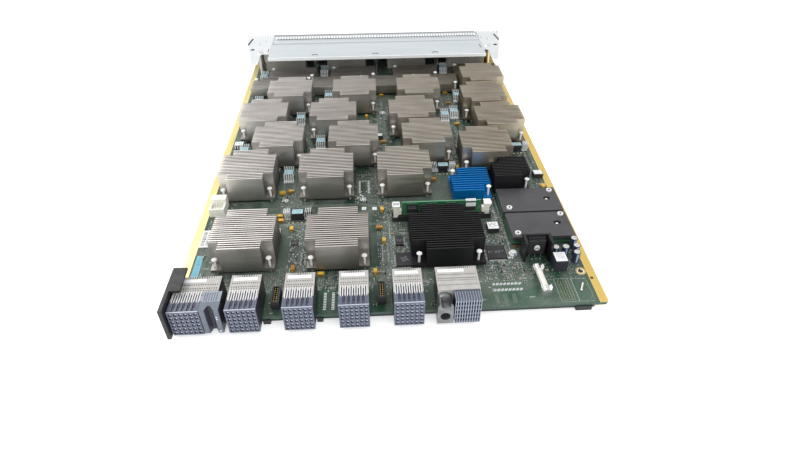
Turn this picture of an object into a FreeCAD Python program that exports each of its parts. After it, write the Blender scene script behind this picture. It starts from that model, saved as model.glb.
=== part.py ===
import FreeCAD, Part
import os
import Sketcher
from FreeCAD import Vector, Placement, Rotation

# Full-width data-centre line card: a large circuit board that slides into a
# chassis on its two side edges.  Backplane connectors stand along the front
# edge (low Y), the optical-port faceplate closes the far end (high Y).
# The working frame has X across the card (0 = centre line), Y from the
# connector edge of the board towards the faceplate, Z up from the top of the
# board.  Every exported node is then shifted by the same offset, so that the
# finished part stands with the centre of its footprint at the origin.

doc = FreeCAD.newDocument("LineCard")
sheet = doc.addObject("Spreadsheet::Sheet", "Dims")
ROW = [0]


class Num:
    """A size that knows both its value and the cell formula it comes from."""

    def __init__(self, text, value):
        self.text = text
        self.value = float(value)

    def __add__(self, other):
        o = num(other)
        return Num("(%s + %s)" % (self.text, o.text), self.value + o.value)

    def __radd__(self, other):
        return num(other) + self

    def __sub__(self, other):
        o = num(other)
        return Num("(%s - %s)" % (self.text, o.text), self.value - o.value)

    def __rsub__(self, other):
        return num(other) - self

    def __mul__(self, other):
        o = num(other)
        return Num("(%s * %s)" % (self.text, o.text), self.value * o.value)

    def __rmul__(self, other):
        return num(other) * self

    def __truediv__(self, other):
        o = num(other)
        return Num("(%s / %s)" % (self.text, o.text), self.value / o.value)

    def __neg__(self):
        return Num("(0 - %s)" % self.text, -self.value)


def num(v):
    return v if isinstance(v, Num) else Num(repr(round(float(v), 4)), v)


def dim(name, value):
    """One driving dimension: a plain number in an aliased cell."""
    ROW[0] += 1
    cell = "A%d" % ROW[0]
    sheet.set(cell, repr(float(value)))
    sheet.setAlias(cell, name)
    sheet.set("B%d" % ROW[0], name)
    return Num("Dims." + name, value)


# ---------------------------------------------------------------- dimensions
board_half = dim("board_half_width", 183.0)
board_depth = dim("board_depth", 527.0)
board_t = dim("board_thickness", 2.8)
board_r = dim("board_corner_radius", 3.0)

face_half = dim("faceplate_half_width", 193.0)
face_y0 = dim("faceplate_inner_y", 538.5)
face_y1 = dim("faceplate_outer_y", 541.0)
face_z0 = dim("faceplate_bottom_z", -7.6)
face_z1 = dim("faceplate_top_z", 36.8)
lever_y1 = dim("lever_outer_y", 548.4)
wall_y0 = dim("guide_wall_front_y", -15.7)
origin_y = (lever_y1 + wall_y0) / 2

sink_w = dim("asic_sink_width", 55.5)
sink_notch = dim("asic_sink_notch", 9.4)
sink_z0 = dim("asic_sink_seat_z", 3.2)
sink_plate = dim("asic_sink_plate", 3.0)
sink_z1 = dim("asic_sink_top_z", 30.0)
sink_fin = dim("asic_sink_fin", 1.1)
sink_pin_x = dim("asic_sink_pin_x", 23.4)
sink_pin_y = dim("asic_sink_pin_y", 24.2)

port_sink_w = dim("port_sink_width", 64.0)
port_sink_d = dim("port_sink_depth", 33.0)
port_sink_z1 = dim("port_sink_top_z", 15.0)
port_sink_plate = dim("port_sink_plate", 2.4)
port_pin_x = dim("port_sink_pin_x", 28.2)
port_pin_y = dim("port_sink_pin_y", 12.9)

pin_hole_r = dim("pin_hole_radius", 1.7)
pin_shaft_r = dim("pin_shaft_radius", 1.1)
pin_head_r = dim("pin_head_radius", 2.5)
pin_top_z = dim("pin_head_top_z", 16.2)

conn_w = dim("connector_width", 24.2)
conn_y0 = dim("connector_front_y", -12.0)
conn_y1 = dim("connector_back_y", -0.05)
conn_z0 = dim("connector_bottom_z", -3.4)
conn_z1 = dim("connector_top_z", 22.5)
conn_pitch = dim("connector_pitch", 43.8)
conn_first = dim("connector_first_x", -160.6)
hole_sq = dim("connector_hole_width", 2.5)
hole_px = dim("connector_hole_pitch_x", 3.85)
hole_pz = dim("connector_hole_pitch_z", 4.1)
hole_deep = dim("connector_hole_depth", 6.0)

wafer_y0 = dim("wafer_front_y", 0.0)
wafer_y1 = dim("wafer_back_y", 24.6)
wafer_tooth = dim("wafer_tooth_length", 2.4)
wafer_z1 = dim("wafer_top_z", 22.3)

cage_w = dim("cage_width", 57.0)
cage_y0 = dim("cage_back_y", 491.0)
cage_y1 = dim("cage_front_y", 541.3)
cage_z0 = dim("cage_bottom_z", 0.4)
cage_z1 = dim("cage_top_z", 27.0)
cage_first = dim("cage_first_x", -132.6)
cage_pitch = dim("cage_pitch", 89.4)
port_w = dim("port_width", 13.3)
port_high = dim("port_height", 9.0)
port_pitch = dim("port_pitch", 14.05)
port_low_z = dim("port_lower_z", 2.4)
port_up_z = dim("port_upper_z", 15.6)
port_deep = dim("port_depth", 44.0)

pivot_x = dim("lever_pivot_x", 186.0)
pivot_y = dim("lever_pivot_y", 543.9)
pivot_r = dim("lever_pivot_radius", 1.5)
pivot_gap = dim("running_clearance", 0.06)
arm_low = dim("lever_lower_z", 1.2)
arm_high = dim("lever_upper_z", 24.5)
arm_t = dim("lever_arm_thickness", 3.5)
screw_x = dim("captive_screw_x", 175.5)
screw_z = dim("captive_screw_z", 14.6)
screw_r = dim("captive_shank_radius", 2.0)
screw_head_r = dim("captive_head_radius", 4.0)

# ------------------------------------------------------------------- helpers
EXPORT = []
COUNT = [0]


def bind(obj, prop, value):
    n = num(value)
    obj.setExpression(prop, n.text)


def tag(base):
    COUNT[0] += 1
    return "%s_%03d" % (base, COUNT[0])


def box(x0, x1, y0, y1, z0, z1, name="block"):
    """A rectangular block between opposite corners."""
    o = doc.addObject("Part::Box", tag(name))
    bind(o, "Length", num(x1) - x0)
    bind(o, "Width", num(y1) - y0)
    bind(o, "Height", num(z1) - z0)
    bind(o, "Placement.Base.x", x0)
    bind(o, "Placement.Base.y", y0)
    bind(o, "Placement.Base.z", z0)
    return o


AXES = {"z": Rotation(), "y": Rotation(Vector(1, 0, 0), -90), "x": Rotation(Vector(0, 1, 0), 90)}


def rod(x, y, z, r, length, axis="z", name="rod"):
    """A cylinder that starts at the point and runs along +axis."""
    o = doc.addObject("Part::Cylinder", tag(name))
    o.Placement = Placement(Vector(0, 0, 0), AXES[axis])
    bind(o, "Radius", r)
    bind(o, "Height", length)
    bind(o, "Placement.Base.x", x)
    bind(o, "Placement.Base.y", y)
    bind(o, "Placement.Base.z", z)
    return o


def taper(x, y, z, r0, r1, length, axis="z", name="cone"):
    o = doc.addObject("Part::Cone", tag(name))
    o.Placement = Placement(Vector(0, 0, 0), AXES[axis])
    bind(o, "Radius1", r0)
    bind(o, "Radius2", r1)
    bind(o, "Height", length)
    bind(o, "Placement.Base.x", x)
    bind(o, "Placement.Base.y", y)
    bind(o, "Placement.Base.z", z)
    return o


def join(parts, name="joined"):
    o = doc.addObject("Part::MultiFuse", tag(name))
    o.Shapes = list(parts)
    o.Refine = True
    return o


def group(parts, name="tools"):
    o = doc.addObject("Part::Compound", tag(name))
    o.Links = list(parts)
    return o


def cut(base, tools, name="cut"):
    o = doc.addObject("Part::Cut", tag(name))
    o.Base = base
    o.Tool = tools[0] if len(tools) == 1 else group(tools)
    o.Refine = True
    return o


PLANES = {"XY": "XY_Plane", "XZ": "XZ_Plane", "YZ": "YZ_Plane"}


def body(name):
    return doc.addObject("PartDesign::Body", name)


def sketch(b, plane, loops, name="outline", offset=None):
    """A sketch of closed polygons, every corner bound to the sheet."""
    ref = [o for o in b.Origin.OriginFeatures if o.Role == PLANES[plane]][0]
    sk = b.newObject("Sketcher::SketchObject", tag(name))
    sk.AttachmentSupport = [(ref, "")]
    sk.MapMode = "FlatFace"
    if offset is not None:
        bind(sk, "AttachmentOffset.Base.z", offset)
    base = 0
    for pts in loops:
        pts = [(num(a), num(c)) for a, c in pts]
        n = len(pts)
        lines = [Part.LineSegment(Vector(pts[i][0].value, pts[i][1].value, 0),
                                  Vector(pts[(i + 1) % n][0].value, pts[(i + 1) % n][1].value, 0))
                 for i in range(n)]
        sk.addGeometry(lines, False)
        for i in range(n):
            sk.addConstraint(Sketcher.Constraint("Coincident", base + i, 2, base + (i + 1) % n, 1))
        for i, (a, c) in enumerate(pts):
            k = sk.addConstraint(Sketcher.Constraint("DistanceX", -1, 1, base + i, 1, a.value))
            sk.setExpression("Constraints[%d]" % k, a.text)
            k = sk.addConstraint(Sketcher.Constraint("DistanceY", -1, 1, base + i, 1, c.value))
            sk.setExpression("Constraints[%d]" % k, c.text)
        base += n
    return sk


def rect(x0, x1, y0, y1):
    return [(x0, y0), (x1, y0), (x1, y1), (x0, y1)]


def pad(b, sk, length, back=False, both=False):
    p = b.newObject("PartDesign::Pad", tag("pad"))
    p.Profile = sk
    bind(p, "Length", length)
    p.Reversed = back
    p.Midplane = both
    return p


def pocket(b, sk, length, back=False, both=False):
    p = b.newObject("PartDesign::Pocket", tag("pocket"))
    p.Profile = sk
    bind(p, "Length", length)
    p.Reversed = back
    p.Midplane = both
    return p


def repeat(b, feature, sk, axis, length, times):
    lp = b.newObject("PartDesign::LinearPattern", tag("row"))
    lp.Originals = [feature]
    lp.Direction = (sk, [axis])
    bind(lp, "Length", length)
    lp.Occurrences = times
    b.Tip = lp
    return lp


def prism(name, pts, z0, z1, at=(0, 0, 0)):
    """A polygon in plan, padded from z0 to z1."""
    b = body(tag(name))
    pad(b, sketch(b, "XY", [pts]), num(z1) - z0)
    bind(b, "Placement.Base.x", at[0])
    bind(b, "Placement.Base.y", at[1])
    bind(b, "Placement.Base.z", num(z0) + at[2])
    return b


def link(master, x, y, z=0, turn=0, name="copy"):
    """One more of an identical piece."""
    o = doc.addObject("App::Link", tag(name))
    o.LinkedObject = master
    o.Placement = Placement(Vector(0, 0, 0), Rotation(Vector(0, 0, 1), turn))
    bind(o, "Placement.Base.x", x)
    bind(o, "Placement.Base.y", y)
    bind(o, "Placement.Base.z", z)
    return o


def node(label, parts):
    """A named sub-part, moved into the finished part's own frame."""
    o = doc.addObject("Part::Compound", label)
    o.Label = label
    o.Links = list(parts)
    bind(o, "Placement.Base.y", -origin_y)
    bind(o, "Placement.Base.z", -face_z0)
    EXPORT.append(o)
    return o


def place(prefix, x, y):
    """A layout position kept in the sheet."""
    return dim(prefix + "_x", x), dim(prefix + "_y", y)


# ------------------------------------------------------- where the chips sit
ASIC = {
    1: [(-127.3, 79.3), (-43.9, 77.6)],
    2: [(-139.5, 185.5), (-58.2, 184.3), (22.4, 184.5), (115.8, 223.3)],
    3: [(-114.5, 247.8), (-30.6, 245.0), (52.5, 246.3), (143.0, 283.5)],
    4: [(-138.5, 307.0), (-55.3, 305.0), (40.0, 306.5), (134.5, 343.5)],
    5: [(-113.0, 371.0), (-30.0, 370.5), (53.0, 370.5), (142.6, 403.4)],
}
asic = {}
for row in sorted(ASIC):
    asic[row] = [place("asic_%d_%d" % (row, i + 1), x, y) for i, (x, y) in enumerate(ASIC[row])]
port_rear = [place("port_chip_rear_%d" % (i + 1), x, y)
             for i, (x, y) in enumerate([(-119.0, 450.3), (-32.8, 450.3), (55.6, 450.3), (143.0, 450.6)])]
port_front = [place("port_chip_front_%d" % (i + 1), x, y)
              for i, (x, y) in enumerate([(-139.0, 416.0), (-66.5, 416.0), (6.5, 416.0), (80.0, 416.0)])]

big_x, big_y = place("black_sink", 54.6, 80.2)
big_w = dim("black_sink_width", 66.0)
big_d = dim("black_sink_depth", 63.5)
big_z1 = dim("black_sink_top_z", 24.0)
big_px = dim("black_sink_pin_x", 26.6)
big_py = dim("black_sink_pin_y", 27.2)
blue_x, blue_y = place("blue_sink", 91.4, 167.3)
blue_w = dim("blue_sink_width", 40.4)
blue_d = dim("blue_sink_depth", 41.6)
blue_z1 = dim("blue_sink_top_z", 15.0)
small_x, small_y = place("small_black_sink", 134.8, 177.0)
small_w = dim("small_black_sink_width", 38.6)
small_d = dim("small_black_sink_depth", 36.0)
small_z1 = dim("small_black_sink_top_z", 23.0)


# ---------------------------------------------------------------- heat sinks
def heat_sink(name, w, d, z0, plate, z1, fin, count, notches, nx, ny, pins):
    """Extruded plate-fin sink: full base plate, fins along X, fins cut away
    at the corners where the push pins pass."""
    b = body(name)
    hx, hy = w / 2, d / 2
    pad(b, sketch(b, "XY", [rect(-hx, hx, -hy, hy)]), plate)
    out = []
    for sx, sy in ((-1, -1), (1, -1), (1, 1), (-1, 1)):
        if (sx, sy) in notches:
            a = (hx * sx, (hy - ny) * sy)
            c = ((hx - nx) * sx, (hy - ny) * sy)
            e = ((hx - nx) * sx, hy * sy)
            out += [a, c, e] if sx * sy > 0 else [e, c, a]
        else:
            out += [(hx * sx, hy * sy)]
    pad(b, sketch(b, "XY", [out], "fin_block"), num(z1) - z0)
    step = (d - fin) / (count - 1)
    gap = step - fin
    y0 = -hy + fin
    sk = sketch(b, "YZ", [rect(y0, y0 + gap, plate, num(z1) - z0 + 1)], "channel")
    ch = pocket(b, sk, w + 4, both=True)
    rows = repeat(b, ch, sk, "H_Axis", step * (count - 2), count - 1)
    last = rows
    if pins:
        loops = []
        for px, py in pins:
            r = pin_hole_r
            loops.append([(px - r, py - r * 0.45), (px - r * 0.45, py - r), (px + r * 0.45, py - r),
                          (px + r, py - r * 0.45), (px + r, py + r * 0.45), (px + r * 0.45, py + r),
                          (px - r * 0.45, py + r), (px - r, py + r * 0.45)])
        last = pocket(b, sketch(b, "XY", loops, "pin_holes"), plate + 1, back=True)
    b.Tip = last
    return b


asic_sink = heat_sink("asic_sink_master", sink_w, sink_w, sink_z0, sink_plate, sink_z1, sink_fin, 20,
                      [(-1, -1), (1, -1), (1, 1), (-1, 1)], sink_notch, sink_notch,
                      [(sink_pin_x, sink_pin_y), (-sink_pin_x, sink_pin_y),
                       (-sink_pin_x, -sink_pin_y), (sink_pin_x, -sink_pin_y)])
port_sink = heat_sink("port_sink_master", port_sink_w, port_sink_d, sink_z0, port_sink_plate, port_sink_z1,
                      dim("port_sink_fin", 1.0), 12, [(-1, 1), (1, -1)],
                      dim("port_sink_notch_x", 9.6), dim("port_sink_notch_y", 8.6),
                      [(-port_pin_x, port_pin_y), (port_pin_x, -port_pin_y)])
for row in sorted(asic):
    node("asic_heatsinks_row_%d" % row, [link(asic_sink, x, y, sink_z0) for x, y in asic[row]])
node("port_heatsinks", [link(port_sink, x, y, sink_z0) for x, y in port_rear + port_front])

big_sink = heat_sink("black_sink_master", big_w, big_d, dim("black_sink_seat_z", 3.0), dim("black_sink_plate", 3.0),
                     big_z1, dim("black_sink_fin", 1.0), 21, [(-1, -1), (1, -1), (1, 1), (-1, 1)],
                     dim("black_sink_notch_x", 12.5), dim("black_sink_notch_y", 12.0),
                     [(big_px, big_py), (-big_px, big_py), (-big_px, -big_py), (big_px, -big_py)])
node("black_heatsink_large", [link(big_sink, big_x, big_y, 3.0)])
blue_px = dim("blue_sink_pin_x", 16.6)
blue_py = dim("blue_sink_pin_y", 15.4)
blue_sink = heat_sink("blue_sink_master", blue_w, blue_d, dim("blue_sink_seat_z", 2.6), dim("blue_sink_plate", 2.4),
                      blue_z1, dim("blue_sink_fin", 1.3), 11, [(-1, 1), (1, -1)],
                      dim("blue_sink_notch_x", 8.6), dim("blue_sink_notch_y", 12.6),
                      [(-blue_px, blue_py), (blue_px, -blue_py)])
node("blue_heatsink", [link(blue_sink, blue_x, blue_y, 2.6)])
small_px = dim("small_sink_pin_x", 15.2)
small_py = dim("small_sink_pin_y", 14.6)
small_sink = heat_sink("small_sink_master", small_w, small_d, dim("small_sink_seat_z", 2.6),
                       dim("small_sink_plate", 2.6), small_z1, dim("small_sink_fin", 1.0), 13,
                       [(-1, 1), (1, -1)], dim("small_sink_notch_x", 9.8), dim("small_sink_notch_y", 9.4),
                       [(-small_px, small_py), (small_px, -small_py)])
node("black_heatsink_small", [link(small_sink, small_x, small_y, 2.6)])

# ----------------------------------------------- chip packages under the sinks
asic_pkg = dim("asic_package_width", 42.5)
asic_chip = box(-asic_pkg / 2, asic_pkg / 2, -asic_pkg / 2, asic_pkg / 2, 0.0, sink_z0, "asic_chip")
node("asic_packages", [link(asic_chip, x - asic_pkg / 2, y - asic_pkg / 2, 0.0)
                       for row in sorted(asic) for x, y in asic[row]])
port_pkg = dim("port_package_width", 27.0)
port_chip = box(0.0, port_pkg, 0.0, port_pkg, 0.0, sink_z0, "port_chip")
node("port_packages", [link(port_chip, x - port_pkg / 2, y - port_pkg / 2, 0.0) for x, y in port_rear + port_front])
ctl_w = dim("controller_package_width", 35.0)
ctl_s = dim("controller_small_package", 27.0)
node("controller_packages", [
    box(big_x - ctl_w / 2, big_x + ctl_w / 2, big_y - ctl_w / 2, big_y + ctl_w / 2, 0.0, 3.0),
    box(blue_x - ctl_s / 2, blue_x + ctl_s / 2, blue_y - ctl_s / 2, blue_y + ctl_s / 2, 0.0, 2.6),
    box(small_x - ctl_s / 2, small_x + ctl_s / 2, small_y - ctl_s / 2, small_y + ctl_s / 2, 0.0, 2.6)])

# ------------------------------------------------------------------ push pins
pin_spots = []
for row in sorted(asic):
    for x, y in asic[row]:
        for sx, sy in ((-1, -1), (1, -1), (1, 1), (-1, 1)):
            pin_spots.append((x + sink_pin_x * sx, y + sink_pin_y * sy))
for x, y in port_rear + port_front:
    pin_spots.append((x - port_pin_x, y + port_pin_y))
    pin_spots.append((x + port_pin_x, y - port_pin_y))
for sx, sy in ((-1, -1), (1, -1), (1, 1), (-1, 1)):
    pin_spots.append((big_x + big_px * sx, big_y + big_py * sy))
pin_spots += [(blue_x - blue_px, blue_y + blue_py), (blue_x + blue_px, blue_y - blue_py),
              (small_x - small_px, small_y + small_py), (small_x + small_px, small_y - small_py)]

pin_body = body("push_pin_master")
pin_low = dim("pin_barb_bottom_z", -5.4)
pin_sk = sketch(pin_body, "XZ", [[
    (0.0, pin_low), (0.55, pin_low), (1.45, -board_t - 0.3), (1.0, -board_t - 0.05),
    (1.0, 0.4), (pin_shaft_r, 1.0), (pin_shaft_r, pin_top_z - 2.6), (1.5, pin_top_z - 2.0),
    (pin_head_r, pin_top_z - 1.3), (pin_head_r, pin_top_z - 0.6), (pin_head_r - 0.7, pin_top_z),
    (0.0, pin_top_z)]], "pin_profile")
rev = pin_body.newObject("PartDesign::Revolution", "pin_turn")
rev.Profile = pin_sk
rev.ReferenceAxis = (pin_sk, ["V_Axis"])
rev.Angle = 360.0
pin_body.Tip = rev
node("push_pins", [link(pin_body, x, y, 0.0) for x, y in pin_spots])

# --------------------------------------------------------------- circuit board
board_slab = join([
    box(-board_half, board_half, board_r, board_depth, -board_t, 0.0),
    box(-board_half + board_r, board_half - board_r, 0.0, board_r * 2, -board_t, 0.0),
    rod(-board_half + board_r, board_r, -board_t, board_r, board_t),
    rod(board_half - board_r, board_r, -board_t, board_r, board_t)], "board_slab")
drill = doc.addObject("Part::Cylinder", "pin_drill")
bind(drill, "Radius", dim("board_pin_hole_radius", 1.2))
bind(drill, "Height", board_t + 2)
holes = [link(drill, x, y, -board_t - 1) for x, y in pin_spots]
corner_x, corner_y = place("corner_hole", 170.5, 38.0)
strip_x, strip_y = place("strip_hole", 177.8, 29.2)
holes += [rod(corner_x, corner_y, -board_t - 1, dim("corner_hole_radius", 1.9), board_t + 2),
          rod(strip_x, strip_y, -board_t - 1, dim("strip_hole_radius", 1.0), board_t + 2)]
node("circuit_board", [cut(board_slab, holes, "board_drilled")])

# ------------------------------------------- stiffener under the front edge
rib_z = dim("stiffener_bottom_z", -6.2)
node("front_stiffener", [join([
    box(-172.0, 172.0, 1.3, 9.0, rib_z, -board_t),
    box(-104.2, -98.2, -1.0, 7.0, face_z0, -board_t),
    box(-60.4, -55.4, -1.0, 7.0, face_z0, -board_t),
    box(155.6, 169.0, -1.0, 7.0, face_z0, -board_t)], "stiffener")])

# --------------------------------------------------------- backplane connectors
housing = body("connector_housing_master")
hw = conn_w / 2
pad(housing, sketch(housing, "XY", [rect(-hw, hw, conn_y0, conn_y1)]), conn_z1 - conn_z0)
zc = (conn_z1 - conn_z0) / 2 - 0.3
col_x = -hole_px * 2.5
col = [rect(col_x - hole_sq / 2, col_x + hole_sq / 2, zc + hole_pz * (i - 2.5) - hole_sq / 2,
            zc + hole_pz * (i - 2.5) + hole_sq / 2) for i in range(6)]
sk = sketch(housing, "XZ", col, "socket_column", -conn_y0)
first = pocket(housing, sk, hole_deep)
cols = repeat(housing, first, sk, "H_Axis", hole_px * 5, 6)
rib_gap = dim("connector_rib_gap", 2.1)
rib_deep = dim("connector_rib_depth", 1.1)
rib_pitch = dim("connector_rib_pitch", 3.85)
lip = dim("connector_lip", 1.3)
top = conn_z1 - conn_z0
sk = sketch(housing, "XY", [rect(-rib_pitch * 2.5 - rib_gap / 2 + rib_pitch / 2,
                                 -rib_pitch * 2.5 + rib_gap / 2 + rib_pitch / 2,
                                 conn_y0 + lip, conn_y1 + 1)], "rib_gap", top)
ribs = repeat(housing, pocket(housing, sk, rib_deep), sk, "H_Axis", rib_pitch * 4, 5)
housing.Tip = ribs
node("backplane_connectors", [link(housing, conn_first + conn_pitch * i, 0.0, conn_z0) for i in range(5)])


def wafers(name, width, teeth):
    """Stacked contact wafers behind a housing: a block whose rear edge is
    combed into single wafer ends, with two rows of slots across its top."""
    b = body(name)
    h = num(width) / 2
    pad(b, sketch(b, "XY", [rect(-h, h, wafer_y0, wafer_y1 + wafer_tooth)]), wafer_z1)
    step = num(width) / teeth
    gap = step * 0.42
    x0 = -h + step * 0.29 + step * 0.5
    sk = sketch(b, "XY", [rect(x0, x0 + gap, wafer_y1, wafer_y1 + wafer_tooth + 1)], "comb")
    comb = repeat(b, pocket(b, sk, wafer_z1 + 1, back=True), sk, "H_Axis", step * (teeth - 2), teeth - 1)
    sk = sketch(b, "XY", [rect(x0, x0 + gap, wafer_y0 + 5.2, wafer_y0 + 6.4),
                          rect(x0, x0 + gap, wafer_y0 + 10.4, wafer_y0 + 11.6)], "slots", wafer_z1)
    slots = repeat(b, pocket(b, sk, 0.8), sk, "H_Axis", step * (teeth - 2), teeth - 1)
    b.Tip = slots
    return b


wafer_std = wafers("wafer_master", conn_w, 12)
wafer_wide = wafers("wafer_wide_master", dim("wide_wafer_width", 35.6), 18)
wafer_mixed = wafers("wafer_mixed_master", dim("mixed_wafer_width", 34.6), 20)
node("connector_wafers",
     [link(wafer_std, conn_first + conn_pitch * i, 0.0, 0.05) for i in range(1, 5)]
     + [link(wafer_wide, dim("wide_wafer_x", -154.8), 0.0, 0.05),
        link(wafer_mixed, dim("mixed_wafer_x", 55.4), 0.0, 0.05)])

# keying block beside the first housing, notched towards the backplane
key_x = dim("keying_block_x", -140.6)
key_h = dim("keying_block_half_width", 7.5)
key_z1 = dim("keying_block_top_z", 23.3)
node("keying_block", [join([prism("keying_outline", [
    (-key_h, -11.6), (-key_h + 4.1, -11.6), (-1.6, -6.9), (0.6, -6.9), (key_h - 3.9, -11.6), (key_h, -11.6),
    (key_h, conn_y1), (-key_h, conn_y1)], conn_z0 + 0.4, key_z1, (key_x, 0, 0)),
    box(key_x - key_h, key_x + key_h, -3.0, dim("keying_block_cap_y", 8.6), 22.36, key_z1, "keying_cap")],
    "keying_joined")])

# guide socket: tower with a guide-pin bore and an open scoop above it
guide_x = dim("guide_socket_x", 43.6)
guide_h = dim("guide_socket_half_width", 6.4)
guide_bore_z = dim("guide_bore_z", 4.6)
guide_bore_r = dim("guide_bore_radius", 4.1)
guide_mid = dim("guide_round_z", 14.0)
tower = join([box(guide_x - guide_h, guide_x + guide_h, conn_y0, conn_y1, conn_z0, guide_mid),
              rod(guide_x, conn_y0, guide_mid, guide_h, conn_y1 - conn_y0, "y")], "guide_tower")
node("guide_socket", [cut(tower, [
    rod(guide_x, conn_y0 - 1, guide_bore_z, guide_bore_r, dim("guide_bore_length", 11.0) + 1, "y"),
    rod(guide_x, conn_y0 - 1, dim("guide_scoop_z", 17.6), dim("guide_scoop_radius", 4.0), 8.5, "y"),
    box(guide_x - 4.0, guide_x + 4.0, conn_y0 - 1, conn_y0 + 7.5, 17.6, 21.0)], "guide_cut")])

# mixed header right of the guide socket: ten columns of paired slots
header = body("header_master")
head_x0 = dim("header_left_x", 51.0)
head_w = dim("header_width", 21.0)
pad(header, sketch(header, "XY", [rect(0.0, head_w, conn_y0, conn_y1)]), top)
head_step = head_w / 10
slot_w = dim("header_slot_width", 1.15)
slot_h = dim("header_slot_height", 2.7)
slot_p = dim("header_slot_pitch", 4.6)
sx0 = head_step / 2 - slot_w / 2
sk = sketch(header, "XZ", [rect(sx0, sx0 + slot_w, zc + slot_p * (i - 2) - slot_h / 2,
                                zc + slot_p * (i - 2) + slot_h / 2) for i in range(5)], "slot_column", -conn_y0)
repeat(header, pocket(header, sk, hole_deep), sk, "H_Axis", head_step * 9, 10)
sk = sketch(header, "XY", [rect(head_step - 0.5, head_step + 0.5, conn_y0 + lip, conn_y1 + 1)], "rib_gap", top)
header.Tip = repeat(header, pocket(header, sk, rib_deep), sk, "H_Axis", head_step * 8, 9)
node("mixed_header", [link(header, head_x0, 0.0, conn_z0)])

# black steel guide wall at the left end of the connector row
wall_x0 = dim("guide_wall_outer_x", -176.6)
wall_t = dim("guide_wall_thickness", 3.0)
wall_z1 = dim("guide_wall_top_z", 28.0)
wall_back = dim("guide_wall_back_y", 33.0)
node("end_guide_wall", [join([
    box(wall_x0, wall_x0 + wall_t, wall_y0, -0.05, dim("guide_wall_bottom_z", -3.6), wall_z1),
    box(wall_x0, wall_x0 + wall_t, -0.1, wall_back, 0.05, wall_z1),
    box(wall_x0, dim("guide_wall_cap_x", -165.2), 6.0, wall_back, wall_z1 - 2.0, wall_z1)], "guide_wall")])

# ------------------------------------------------------------- memory module
mem_y = dim("memory_y", 122.5)
sock_z = dim("memory_socket_top_z", 6.0)
sock_x0, sock_x1 = dim("memory_socket_left_x", 7.0), dim("memory_socket_right_x", 105.0)
latch_x = dim("memory_latch_inset", 4.2)
latch_z = dim("memory_latch_pivot_z", 3.4)
socket = cut(box(sock_x0, sock_x1, mem_y - 4.5, mem_y + 4.5, 0.05, sock_z, "socket_block"), [
    box(sock_x0 + 9.7, sock_x1 - 10.3, mem_y - 0.75, mem_y + 0.75, 1.6, sock_z + 1),
    box(sock_x0 - 1, sock_x0 + 8.6, mem_y - 2.6, mem_y + 2.6, 0.9, sock_z + 1),
    box(sock_x1 - 8.6, sock_x1 + 1, mem_y - 2.6, mem_y + 2.6, 0.9, sock_z + 1)], "socket_cut")
node("memory_socket", [join([socket,
                             rod(sock_x0 + latch_x, mem_y - 3.0, latch_z, 1.0, 6.0, "y"),
                             rod(sock_x1 - latch_x, mem_y - 3.0, latch_z, 1.0, 6.0, "y")], "socket_pins")])
mem_x0, mem_x1 = dim("memory_module_left_x", 17.0), dim("memory_module_right_x", 94.4)
mem_z1 = dim("memory_module_top_z", 20.5)
chips = []
for i in range(4):
    cx = mem_x0 + 4.5 + 19.0 * i
    chips.append(box(cx, cx + 11.0, mem_y - 1.6, mem_y - 0.62, 8.6, 18.8, "memory_chip"))
    chips.append(box(cx, cx + 11.0, mem_y + 0.62, mem_y + 1.6, 8.6, 18.8, "memory_chip"))
node("memory_module", [box(mem_x0, mem_x1, mem_y - 0.6, mem_y + 0.6, 1.7, mem_z1)] + chips)


def latch(name, side, px):
    """Ejector latch: a finger with a hook over the module's end."""
    b = body(tag(name))
    pts = [(-1.9 * side, -1.5), (2.4 * side, -2.1), (2.4 * side, 3.6), (5.0 * side, 3.6), (5.0 * side, 8.2),
           (3.2 * side, 9.4), (3.2 * side, 14.6), (-4.0 * side, 14.6), (-4.0 * side, 12.4), (-2.3 * side, 9.0)]
    if side < 0:
        pts = [pts[0]] + pts[:0:-1]
    pad(b, sketch(b, "XZ", [pts]), 4.6, both=True)
    hole = [(1.04 * c, 1.04 * e) for c, e in ((1, 0.4142), (0.4142, 1), (-0.4142, 1), (-1, 0.4142),
                                              (-1, -0.4142), (-0.4142, -1), (0.4142, -1), (1, -0.4142))]
    pocket(b, sketch(b, "XZ", [hole], "pivot_hole"), 8.0, both=True)
    bind(b, "Placement.Base.x", px)
    bind(b, "Placement.Base.y", mem_y)
    bind(b, "Placement.Base.z", latch_z)
    return b


node("memory_latch_left", [latch("latch_left", 1, sock_x0 + latch_x)])
node("memory_latch_right", [latch("latch_right", -1, sock_x1 - latch_x)])

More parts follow.
